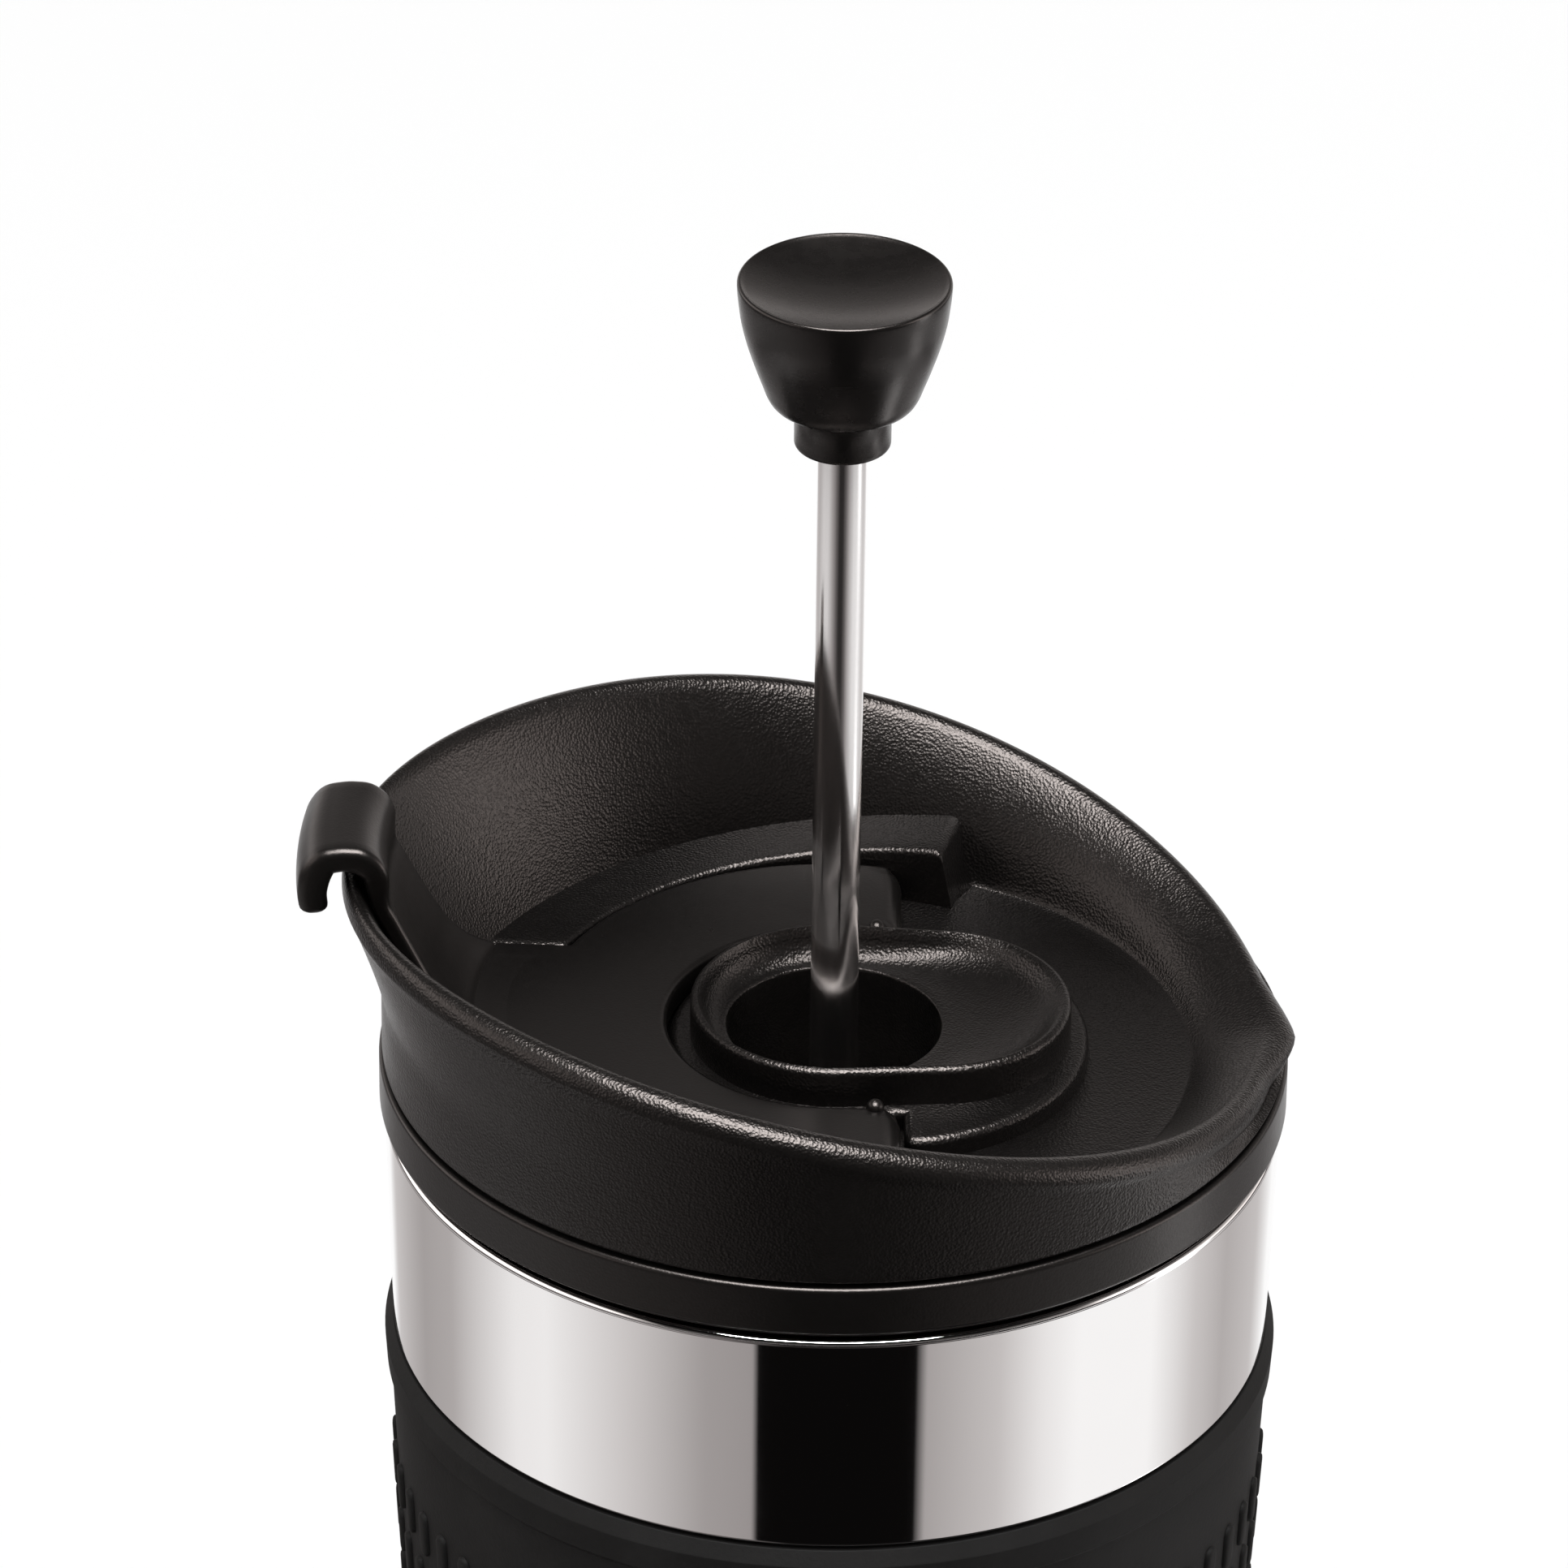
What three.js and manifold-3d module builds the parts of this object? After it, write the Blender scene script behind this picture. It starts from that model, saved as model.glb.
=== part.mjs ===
// Travel french press: a double-walled steel mug with a grip sleeve, closed by a tall flared lid.
// The lid carries a hinged drinking flap and a plunger whose filter presses the coffee down.
// Millimetres, +Z up. The origin is on the axis, on the surface that the press stands on.
// -X is the drinking side, where the rim is high, and +X is the side with the low beak.

import * as THREE from 'three';
import { mergeVertices } from 'three/addons/utils/BufferGeometryUtils.js';
import Module from 'manifold-3d';

const wasm = await Module();
wasm.setup();

// Fits
const fit = 0.3;
const pinFit = 0.3;
const plugFit = 0.6;
const overrun = 2;

// Steel vessel
const steelTop = 165;
const steelTopRadius = 37.5;
const bandHeight = 20.15;
const bandTaper = 0.5;
const baseTaper = 7.6;
const shellWall = 0.8;
const shellBottom = 2.3;
const shellCornerRadius = 2.4;
const shellLipWidth = 2.4;
const rimRound = 0.3;
const basePlateThickness = 0.8;
const basePlateRise = 1.2;
const bandFootRadius = steelTopRadius - bandTaper;
const baseRadius = steelTopRadius - baseTaper;

// Inner liner, the brewing chamber
const linerWall = 0.7;
const linerInset = 2.6;
const linerLift = 5.6;
const linerFloorRadius = 6;
const shoulderTop = 18;
const shoulderDrop = 9;
const boreRadius = baseRadius - linerInset;
const linerFloor = shellBottom + shellWall + linerLift;
const shoulderBottom = shoulderTop + shoulderDrop;

// Foot pad
const footPadThickness = 2;
const footPadInset = 1.3;
const footPadEdge = 0.5;
const footPadRadius = baseRadius - footPadInset;

// Grip sleeve
const sleeveGap = 0.45;
const sleeveHeight = 79;
const sleeveThickness = 1.5;
const sleeveProud = 0.6;
const sleeveLipHeight = 3.2;
const sleeveLipProud = 0.35;
const sleeveEdge = 0.4;
const sleeveDrop = bandHeight + sleeveGap;

// Mouth collar, pressed on the vessel's rim
const collarProud = 0.45;
const collarTop = 5.3;
const collarGrooveHeight = 0.9;
const collarGrooveDepth = 0.85;
const collarEdge = 0.3;
const collarWall = 1.55;
const collarTubeWall = 1.3;
const collarTubeDepth = 15;
const collarSeat = 1.6;
const collarRadius = steelTopRadius + collarProud;
const collarGrooveRadius = collarRadius - collarGrooveDepth;

// Lid, with heights over the vessel's steel edge
const gasketHeight = 1.1;
const skirtInset = 5.8;
const skirtWall = 1.5;
const skirtDepth = 12;
const lidStep = 0.25;
const lidEdge = 0.4;
const deckHeight = 4.5;
const deckThickness = 1.8;
const bowlFootInset = 8.1;
const skirtRadius = steelTopRadius - skirtInset;
const lidRadius = collarRadius - lidStep;
const bowlFootRadius = lidRadius - bowlFootInset;

// Lid rim, an oblique edge with a bead under it
const rimInset = 1.7;
const rimLowRise = 2.15;
const rimMidRise = 11.21;
const rimHighRise = 15.45;
const rimFlare = 4.3;
const lipFlare = 2.95;
const flareStart = 12;
const flareSharpness = 9.2;
const flareCurve = 1.25;
const beadHeight = 2.2;
const beadProud = 0.25;
const beakPinch = 0.9;
const beakSharpness = 7;
const beakReach = 1.6;
const beakHalfWidth = 7;
const beakInnerShare = 0.35;
const rimRadius = lidRadius - rimInset;
const rimLowHeight = collarTop + rimLowRise;
const rimMidHeight = rimLowHeight + rimMidRise;
const rimHighHeight = rimLowHeight + rimHighRise;

// Ledges on the lid's inner wall, one on each side
const ledgeInset = 12.4;
const ledgeRootInset = 3.7;
const ledgeRise = 3;
const ledgeFall = 2.4;
const ledgeEdge = 0.5;
const ledgeStartDegrees = 69.5;
const ledgeBevelDegrees = 3.5;
const ledgeBevelDrop = 1.2;
const ledgeSlantDegrees = 11;
const ledgeInnerRadius = lidRadius - ledgeInset;
const ledgeRootRadius = lidRadius - ledgeRootInset;
const ledgeLowHeight = deckHeight + ledgeRise;
const ledgeHighHeight = ledgeLowHeight + ledgeFall;

// Plunger knob, with heights over the steel edge while the plunger stands as photographed
const knobTop = 76.8;
const knobRadius = 8.55;
const knobCrestInset = 0.35;
const knobDishDepth = 2;
const knobHeight = 14.9;
const neckHeight = 3.5;
const neckRadius = 3.9;
const rodSeatDepth = 9.5;
const knobCrestRadius = knobRadius - knobCrestInset;
const knobBottom = knobTop - knobHeight;

// Boss and well round the rod, into which the knob sinks
const wellClearance = 0.4;
const wellWall = 1.5;
const wellEdge = 0.2;
const wellDepth = 6;
const wellFillet = 1;
const bossWall = 3.05;
const bossRise = 5.3;
const bossEdge = 0.8;
const bossLip = 1.4;
const dishDepth = 2.6;
const scoopStep = 0.7;
const scoopOffset = 8.5;
const wellRadius = knobRadius + wellClearance;
const bossRadius = wellRadius + bossWall;
const scoopRadius = bossRadius - scoopStep;
const bossHeight = deckHeight + bossRise;
const wellEdgeHeight = bossHeight - dishDepth;

// Low tier under the boss
const armGap = 2;
const drumStep = 3.3;
const drumOffset = 4;
const drumRise = 1.9;
const flapCutRadius = bossRadius + armGap;
const drumRadius = flapCutRadius + drumStep;
const drumHeight = deckHeight + drumRise;

// Sip hole and its stopper
const sipInset = 1.3;
const sipLength = 12;
const sipWidth = 6;
const stopperFlange = 0.9;
const stopperDepth = 1.2;
const stopperStemRadius = 1.6;
const stopperStemHeight = 0.9;
const sipDistance = (flapCutRadius + bowlFootRadius) / 2 - sipInset;

// Flap
const armCorner = 1.5;
const flapInset = 0.6;
const flapLift = 0.9;
const plateThickness = 2.4;
const plateRise = 0.4;
const flapEdge = 0.35;
const flapWall = 2.2;
const tailHalfWidth = 10.5;
const tailInset = 0.4;
const strapWall = 1.6;
const strapStep = 2.8;
const tabHalfWidth = 6;
const tabRise = 3.7;
const hookReach = 4.3;
const hookDrop = 6.2;
const hingeOffset = 4;
const hingeRise = 0.8;
const knuckleRadius = 1.4;
const nubRadius = 0.8;
const nubReach = 0.5;
const pinRadius = 0.65;
const pinGrip = 2;
const pinSetback = 2.5;
const armNose = plateThickness - hingeRise;
const armNoseRise = armNose + plateRise;
const flapArmEnd = hingeOffset + armNose;
const drumFacing = flapArmEnd + fit;
const flapUnderside = deckHeight + flapLift;
const flapInnerHeight = flapUnderside + plateThickness;
const flapOuterHeight = flapInnerHeight + plateRise;
const tailReach = bowlFootRadius - tailInset;
const strapReach = tailReach + strapStep;
const tabHeight = rimHighHeight + tabRise;
const tabReach = rimRadius + rimFlare + hookReach;
const hingeHeight = flapUnderside + hingeRise;
const pinReach = ledgeInnerRadius + pinGrip;
const pinInnerReach = flapCutRadius + pinSetback;

// Rod wiper and strainer
const rodRadius = 2;
const wiperRadius = 4.6;
const wiperNeckRadius = 3;
const wiperLipThickness = 0.8;
const strainerThickness = 1.4;
const strainerLift = 0.6;
const strainerHubRadius = 4.5;
const strainerHubHeight = 1;
const slotCount = 14;
const slotStart = 6.5;
const slotRim = 3.9;
const slotWidth = 1.8;

// Plunger filter
const rodBottom = 77.5;
const nutHeight = 4;
const nutRadius = 4.2;
const hubHeight = 5;
const hubRadius = 4.2;
const hubFlangeRadius = 6;
const hubFlangeThickness = 1;
const discThickness = 0.8;
const discInset = 1.2;
const meshThickness = 0.4;
const sealLipHeight = 3.2;
const sealWall = 1.2;
const windowCount = 6;
const windowStart = 2;
const windowRim = 4.1;
const windowBarWidth = 3;
const holeRadius = 1.9;
const holePitch = 7;
const holeRim = 5.6;

// Facets round each form
const bodyFacets = 40;
const innerFacets = 32;
const lidFacets = 54;
const bossFacets = 36;
const knobFacets = 28;
const smallFacets = 24;
const pinFacets = 12;

// Worked-out sizes
const parting = collarTop + fit;
const boreFit = boreRadius - fit;
const collarBore = skirtRadius + fit;
const lidSeat = collarSeat + fit + gasketHeight + fit;
const lidNestRadius = collarRadius - collarWall - fit;
const skirtBore = skirtRadius - skirtWall;
const wellFloor = -wellDepth;
const wellTubeRadius = wellRadius + wellWall;
const rodBore = rodRadius + fit;
const flapRadius = ledgeInnerRadius - flapInset;
const discRadius = boreFit - sealWall - discInset;
const slotInnerRadius = strainerHubRadius + slotStart;
const slotOuterRadius = skirtBore - fit - slotRim;
const windowInnerRadius = hubFlangeRadius + windowStart;
const windowOuterRadius = discRadius - windowRim;
const pinBore = pinRadius + pinFit;
const ledgeEndOffset = tailHalfWidth + fit;

// Shares of the sizes that they follow, chosen by eye
const bowlFootShares = [0.13, 0.04];
const bowlNeckShares = [0.18, 0.58];
const bowlFlareShares = [0.06, 0.47];
const wallShares = [0.35, 0.55, 0.78, 1];
const strapShares = [0.3, 0.45, 0.6, 0.76, 0.92];
const bowlSteps = 6;
const beadShares = [
  [0.95, 0.2],
  [0.63, 0.53],
  [0.32, 0.82],
  [0, 1],
];
const knobShares = [
  [1, 0.94],
  [0.976, 0.804],
  [0.9, 0.54],
  [0.797, 0.296],
  [0.73, 0.157],
  [0.65, 0.062],
];

const materials = {
  blackPlastic: { color: 0x151312, roughness: 0.45, metalness: 0 },
  knobPlastic: { color: 0x191716, roughness: 0.4, metalness: 0 },
  steel: { color: 0xd8d4d2, roughness: 0.12, metalness: 1 },
  liner: { color: 0xb9b6b3, roughness: 0.35, metalness: 1 },
  silicone: { color: 0x1a1818, roughness: 0.7, metalness: 0 },
  clearSilicone: { color: 0x8c8a86, roughness: 0.6, metalness: 0 },
};

const point = (x, y) => new THREE.Vector2(x, y);
const radians = THREE.MathUtils.degToRad;

// Geometry helpers

function signedVolume(geometry) {
  const place = geometry.getAttribute('position');
  const index = geometry.getIndex();
  const a = new THREE.Vector3();
  const b = new THREE.Vector3();
  const c = new THREE.Vector3();
  let sum = 0;
  for (let i = 0; i < index.count; i += 3) {
    a.fromBufferAttribute(place, index.getX(i));
    b.fromBufferAttribute(place, index.getX(i + 1));
    c.fromBufferAttribute(place, index.getX(i + 2));
    sum += a.dot(b.cross(c));
  }
  return sum;
}

// Welds a geometry by position and turns its faces outward.
function weld(geometry) {
  geometry.deleteAttribute('normal');
  geometry.deleteAttribute('uv');
  const welded = mergeVertices(geometry);
  const corners = welded.getIndex().array;
  const kept = [];
  const inward = signedVolume(welded) < 0;
  for (let i = 0; i < corners.length; i += 3) {
    const [a, b, c] = [corners[i], corners[i + 1], corners[i + 2]];
    if (a === b || b === c || c === a) continue;
    kept.push(a, inward ? c : b, inward ? b : c);
  }
  welded.setIndex(kept);
  return welded;
}

function toSolid(geometry) {
  const welded = weld(geometry);
  const mesh = new wasm.Mesh({
    numProp: 3,
    vertProperties: new Float32Array(welded.getAttribute('position').array),
    triVerts: new Uint32Array(welded.getIndex().array),
  });
  return new wasm.Manifold(mesh);
}

function toGeometry(solid) {
  const mesh = solid.getMesh();
  const geometry = new THREE.BufferGeometry();
  geometry.setAttribute('position', new THREE.Float32BufferAttribute(mesh.vertProperties, 3));
  geometry.setIndex(new THREE.Uint32BufferAttribute(mesh.triVerts, 1));
  return geometry;
}

// A solid of revolution about Z, from a profile of [radius, height] that closes on itself.
function turned(profile, facets) {
  const points = profile.map(([radius, height]) => point(radius, height));
  points.push(points[0].clone());
  return weld(new THREE.LatheGeometry(points, facets).rotateX(Math.PI / 2));
}

// A turned solid that reaches the axis, from a profile that starts and ends on it.
function turnedSolid(profile, facets) {
  const points = profile.map(([radius, height]) => point(radius, height));
  return weld(new THREE.LatheGeometry(points, facets).rotateX(Math.PI / 2));
}

function cylinder(radius, bottom, top, facets, x = 0, y = 0) {
  const geometry = new THREE.CylinderGeometry(radius, radius, top - bottom, facets);
  return geometry.rotateX(Math.PI / 2).translate(x, y, (bottom + top) / 2);
}

// A round bar along Y.
function crossBar(radius, from, to, facets, x, z) {
  const geometry = new THREE.CylinderGeometry(radius, radius, to - from, facets);
  return geometry.translate(x, (from + to) / 2, z);
}

function box(low, high) {
  const size = high.map((value, axis) => value - low[axis]);
  const centre = high.map((value, axis) => (value + low[axis]) / 2);
  return new THREE.BoxGeometry(...size).translate(...centre);
}

// An outline in the XY plane, raised from one height to another.
function slab(shape, bottom, top, facets = 1) {
  const settings = { depth: top - bottom, bevelEnabled: false, curveSegments: facets };
  return new THREE.ExtrudeGeometry(shape, settings).translate(0, 0, bottom);
}

// A skin over rings of points, closed into a loop or by a fan at each end.
function loft(rings, looped) {
  const count = rings[0].length;
  const positions = rings.flat().flatMap((spot) => [spot.x, spot.y, spot.z]);
  const index = [];
  const spans = looped ? rings.length : rings.length - 1;
  for (let i = 0; i < spans; i += 1) {
    for (let j = 0; j < count; j += 1) {
      const a = i * count + j;
      const b = i * count + ((j + 1) % count);
      const c = ((i + 1) % rings.length) * count + ((j + 1) % count);
      const d = ((i + 1) % rings.length) * count + j;
      index.push(a, b, c, a, c, d);
    }
  }
  if (!looped) {
    addFan(positions, index, rings[0], 0, true);
    addFan(positions, index, rings.at(-1), (rings.length - 1) * count, false);
  }
  const geometry = new THREE.BufferGeometry();
  geometry.setAttribute('position', new THREE.Float32BufferAttribute(positions, 3));
  geometry.setIndex(index);
  return weld(geometry);
}

function addFan(positions, index, ring, start, first) {
  const centre = new THREE.Vector3();
  ring.forEach((spot) => centre.add(spot));
  centre.divideScalar(ring.length);
  const middle = positions.length / 3;
  positions.push(centre.x, centre.y, centre.z);
  ring.forEach((spot, j) => {
    const next = start + ((j + 1) % ring.length);
    index.push(middle, first ? next : start + j, first ? start + j : next);
  });
}

function around(radius, azimuth, height) {
  return new THREE.Vector3(radius * Math.cos(azimuth), radius * Math.sin(azimuth), height);
}

function union(solids) {
  return solids.reduce((sum, solid) => sum.add(solid));
}

// Groups, one for each set of pieces that moves together

const press = new THREE.Group();
const lid = new THREE.Group();
const plunger = new THREE.Group();
lid.position.z = steelTop;
plunger.position.z = steelTop;
press.add(lid, plunger);

function addPiece(group, name, geometry, finish) {
  const mesh = new THREE.Mesh(geometry, new THREE.MeshStandardMaterial(materials[finish]));
  mesh.name = name;
  group.add(mesh);
}

// Steel vessel

const bandFoot = steelTop - bandHeight;
const sleeveTop = steelTop - sleeveDrop;
const sleeveBottom = sleeveTop - sleeveHeight;
const recessDepth = sleeveThickness + fit - sleeveProud;

// Outside of the steel, without the recess for the sleeve.
function steelRadius(height) {
  if (height > bandFoot) {
    const share = (height - bandFoot) / bandHeight;
    return bandFootRadius + share * (steelTopRadius - bandFootRadius);
  }
  const share = (height - shellBottom) / (bandFoot - shellBottom);
  return baseRadius + share * (bandFootRadius - baseRadius);
}

function makeOuterShell() {
  const recessTop = sleeveTop + fit;
  const recessBottom = sleeveBottom - fit;
  const corner = shellBottom + shellCornerRadius;
  const lipRadius = baseRadius - shellCornerRadius - shellLipWidth;
  const bulge = shellCornerRadius * (1 - Math.SQRT1_2);
  return turned([
    [lipRadius, shellBottom],
    [baseRadius - shellCornerRadius, shellBottom],
    [baseRadius - bulge, shellBottom + bulge],
    [steelRadius(corner), corner],
    [steelRadius(recessBottom), recessBottom],
    [steelRadius(recessBottom) - recessDepth, recessBottom],
    [steelRadius(recessTop) - recessDepth, recessTop],
    [steelRadius(recessTop), recessTop],
    [steelTopRadius, steelTop - rimRound],
    [steelTopRadius - rimRound, steelTop],
    [steelTopRadius - shellWall, steelTop],
    [steelRadius(recessTop) - shellWall, recessTop + shellWall],
    [steelRadius(recessTop) - recessDepth - shellWall, recessTop],
    [steelRadius(recessBottom) - recessDepth - shellWall, recessBottom],
    [steelRadius(recessBottom) - shellWall, recessBottom - shellWall],
    [steelRadius(corner) - shellWall, corner],
    [baseRadius - bulge - shellWall, shellBottom + bulge + shellWall],
    [baseRadius - shellCornerRadius - shellWall, shellBottom + shellWall],
    [lipRadius, shellBottom + shellWall],
  ], bodyFacets);
}

function makeInnerLiner() {
  const mouthRadius = collarBore + collarTubeWall + fit;
  const flangeRadius = steelTopRadius - shellWall - fit;
  const shoulderHigh = steelTop - shoulderTop;
  const shoulderLow = steelTop - shoulderBottom;
  const under = linerFloor - linerWall;
  const corner = linerFloor + linerFloorRadius;
  const bulge = linerFloorRadius * (1 - Math.SQRT1_2);
  return turnedSolid([
    [0, under],
    [boreRadius - linerFloorRadius, under],
    [boreRadius + linerWall - bulge, linerFloor - linerWall + bulge],
    [boreRadius + linerWall, corner],
    [boreRadius + linerWall, shoulderLow],
    [mouthRadius + linerWall, shoulderHigh],
    [mouthRadius + linerWall, steelTop - linerWall],
    [flangeRadius, steelTop - linerWall],
    [flangeRadius, steelTop],
    [mouthRadius, steelTop],
    [mouthRadius, shoulderHigh + linerWall],
    [boreRadius, shoulderLow + linerWall],
    [boreRadius, corner],
    [boreRadius - bulge, linerFloor + bulge],
    [boreRadius - linerFloorRadius, linerFloor],
    [0, linerFloor],
  ], bodyFacets);
}

function makeBasePlate() {
  const radius = baseRadius - shellCornerRadius - shellWall;
  const bottom = shellBottom + shellWall + fit;
  const rise = bottom + basePlateRise;
  return turnedSolid([
    [0, rise],
    [radius - shellLipWidth - basePlateRise, rise],
    [radius - shellLipWidth, bottom],
    [radius, bottom],
    [radius, bottom + basePlateThickness],
    [radius - shellLipWidth, bottom + basePlateThickness],
    [radius - shellLipWidth - basePlateRise, rise + basePlateThickness],
    [0, rise + basePlateThickness],
  ], innerFacets);
}

function makeFootPad() {
  const spigot = baseRadius - shellCornerRadius - shellLipWidth - fit;
  return turnedSolid([
    [0, 0],
    [footPadRadius - footPadEdge, 0],
    [footPadRadius, footPadEdge],
    [footPadRadius, footPadThickness],
    [spigot, footPadThickness],
    [spigot, shellBottom + shellWall],
    [0, shellBottom + shellWall],
  ], innerFacets);
}

function makeGripSleeve() {
  const outer = (height) => steelRadius(height) + sleeveProud;
  const inner = (height) => outer(height) - sleeveThickness;
  const lipFoot = sleeveTop - sleeveLipHeight;
  return turned([
    [inner(sleeveBottom), sleeveBottom],
    [outer(sleeveBottom) - sleeveEdge, sleeveBottom],
    [outer(sleeveBottom), sleeveBottom + sleeveEdge],
    [outer(lipFoot), lipFoot - sleeveEdge],
    [outer(lipFoot) + sleeveLipProud, lipFoot],
    [outer(sleeveTop) + sleeveLipProud, sleeveTop - sleeveEdge],
    [outer(sleeveTop), sleeveTop],
    [inner(sleeveTop), sleeveTop],
  ], bodyFacets);
}

function makeMouthCollar() {
  const above = (height) => steelTop + height;
  const tubeRadius = collarBore + collarTubeWall;
  return turned([
    [collarBore, above(-collarTubeDepth)],
    [tubeRadius, above(-collarTubeDepth)],
    [tubeRadius, above(fit)],
    [collarGrooveRadius, above(fit)],
    [collarGrooveRadius, above(collarGrooveHeight)],
    [collarRadius - collarEdge, above(collarGrooveHeight)],
    [collarRadius, above(collarGrooveHeight + collarEdge)],
    [collarRadius, above(collarTop - collarEdge)],
    [collarRadius - collarEdge, above(collarTop)],
    [collarRadius - collarWall, above(collarTop)],
    [collarRadius - collarWall, above(collarSeat)],
    [collarBore, above(collarSeat)],
  ], bodyFacets);
}

// Gasket in the mouth, under the lid

function makeLidGasket() {
  const inner = collarBore + fit;
  const outer = collarRadius - collarWall - fit;
  const bottom = steelTop + collarSeat + fit;
  const lip = gasketHeight / 2;
  return turned([
    [inner, bottom],
    [outer, bottom],
    [outer, bottom + gasketHeight - lip],
    [outer - lip, bottom + gasketHeight],
    [inner, bottom + gasketHeight],
  ], innerFacets);
}

// Lid

function rimHeight(x) {
  const share = x / rimRadius;
  const tilt = (rimLowHeight - rimHighHeight) / 2;
  const sag = (rimLowHeight + rimHighHeight) / 2 - rimMidHeight;
  return rimMidHeight + tilt * share + sag * share * share;
}

// The rim over one azimuth: crest radius and height, and how far the lip reaches.
function rimAt(azimuth) {
  const flareShare = ((1 - Math.cos(azimuth)) / 2) ** flareSharpness;
  const pinch = beakPinch * ((1 + Math.cos(azimuth)) / 2) ** beakSharpness;
  const turn = Math.abs(Math.atan2(Math.sin(azimuth), Math.cos(azimuth)));
  const beak = beakReach * Math.max(0, 1 - (turn * rimRadius) / beakHalfWidth);
  const crest = rimRadius + rimFlare * flareShare - pinch / 2 + beak * beakInnerShare;
  const lip = lidRadius + beadProud + lipFlare * flareShare - pinch + beak;
  return { crest, height: rimHeight(crest * Math.cos(azimuth)), lip, flareShare };
}

// Inner wall of the lid over one azimuth, from the bead down to the deck.
function bowlCurve(azimuth) {
  const rim = rimAt(azimuth);
  const top = point(rim.crest - beadProud * 2, rim.height - beadProud);
  const foot = point(bowlFootRadius, deckHeight);
  const reach = top.clone().sub(foot);
  const along = ([x, y], flare) =>
    point(foot.x + (x + flare * rim.flareShare) * reach.x, foot.y + y * reach.y);
  const bend = along(bowlFootShares, bowlFlareShares[0]);
  const neck = along(bowlNeckShares, bowlFlareShares[1]);
  return new THREE.CubicBezierCurve(foot, bend, neck, top);
}

function lidSection(azimuth) {
  const rim = rimAt(azimuth);
  const wallFoot = parting + lidEdge;
  const beadFoot = Math.max(rim.height - beadHeight, wallFoot + lidEdge / 2);
  const beadRadius = rim.lip - beadProud;
  const outerWall = wallShares.map((share) => {
    const height = wallFoot + share * (beadFoot - wallFoot);
    const rise = Math.max(0, (height - flareStart) / Math.max(beadFoot - flareStart, beadHeight));
    const reach = beadFoot > flareStart ? rise ** flareCurve : share;
    return [lidRadius + (beadRadius - lidRadius) * reach, height];
  });
  const bead = beadShares.map(([across, up]) => [
    rim.crest + across * (rim.lip - rim.crest),
    beadFoot + up * (rim.height - beadFoot),
  ]);
  const bowl = bowlCurve(azimuth).getPoints(bowlSteps).reverse().map((spot) => [spot.x, spot.y]);
  const ringRadius = (wellRadius + wellTubeRadius) / 2;
  return [
    [skirtBore, -skirtDepth],
    [skirtRadius, -skirtDepth],
    [skirtRadius, lidSeat],
    [lidNestRadius, lidSeat],
    [lidNestRadius, parting],
    [lidRadius - lidEdge, parting],
    [lidRadius, wallFoot],
    ...outerWall,
    ...bead,
    ...bowl,
    [ringRadius, deckHeight],
    [ringRadius, deckHeight - deckThickness],
    [skirtBore, deckHeight - deckThickness],
  ];
}

function lidShell() {
  const beakAngle = beakHalfWidth / rimRadius;
  const azimuths = [-beakAngle / 2, 0, beakAngle / 2];
  for (let i = 0; i <= lidFacets; i += 1) {
    azimuths.push(beakAngle + (i / lidFacets) * (2 * Math.PI - 2 * beakAngle));
  }
  const rings = azimuths.map((azimuth) =>
    lidSection(azimuth).map(([radius, height]) => around(radius, azimuth, height)));
  return toSolid(loft(rings, true));
}

// Outline round the boss: the hull of the ring round the well and the finger scoop beside it.
function bossRing(inset, height) {
  const switchShare = (bossRadius - scoopRadius) / scoopOffset;
  return Array.from({ length: bossFacets }, (_, i) => {
    const angle = ((i + 1 / 2) / bossFacets) * 2 * Math.PI;
    const onScoop = Math.cos(angle) > switchShare;
    const radius = (onScoop ? scoopRadius : bossRadius) - inset;
    const spot = around(radius, angle, height);
    spot.x += onScoop ? scoopOffset : 0;
    return spot;
  });
}

function wellRing(radius, height) {
  return Array.from({ length: bossFacets }, (_, i) =>
    around(radius, ((i + 1 / 2) / bossFacets) * 2 * Math.PI, height));
}

function blendRing(outer, inner, share, height) {
  return outer.map((spot, i) => spot.clone().lerp(inner[i], share).setZ(height));
}

// Boss, scoop and well in one skin, up the outside and down the inside.
function bossAndWell() {
  const inDeck = deckHeight - deckThickness / 2;
  const lip = bossRing(bossLip, bossHeight);
  const hole = wellRing(wellRadius + wellEdge, wellEdgeHeight);
  const rings = [
    wellRing(wellTubeRadius, wellFloor - wellWall),
    wellRing(wellTubeRadius, inDeck),
    bossRing(0, inDeck),
    bossRing(0, bossHeight - bossEdge),
    bossRing(bossEdge * (1 - Math.SQRT1_2), bossHeight - bossEdge * (1 - Math.SQRT1_2)),
    bossRing(bossEdge, bossHeight),
    blendRing(lip, hole, 0, bossHeight - dishDepth / 3),
    blendRing(lip, hole, 1 / 3, bossHeight - (dishDepth * 3) / 4),
    blendRing(lip, hole, 1, wellEdgeHeight),
    wellRing(wellRadius, wellEdgeHeight - wellEdge),
    wellRing(wellRadius, wellFloor + wellFillet),
    wellRing(wellRadius - wellFillet, wellFloor),
  ];
  return toSolid(loft(rings, false));
}

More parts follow.
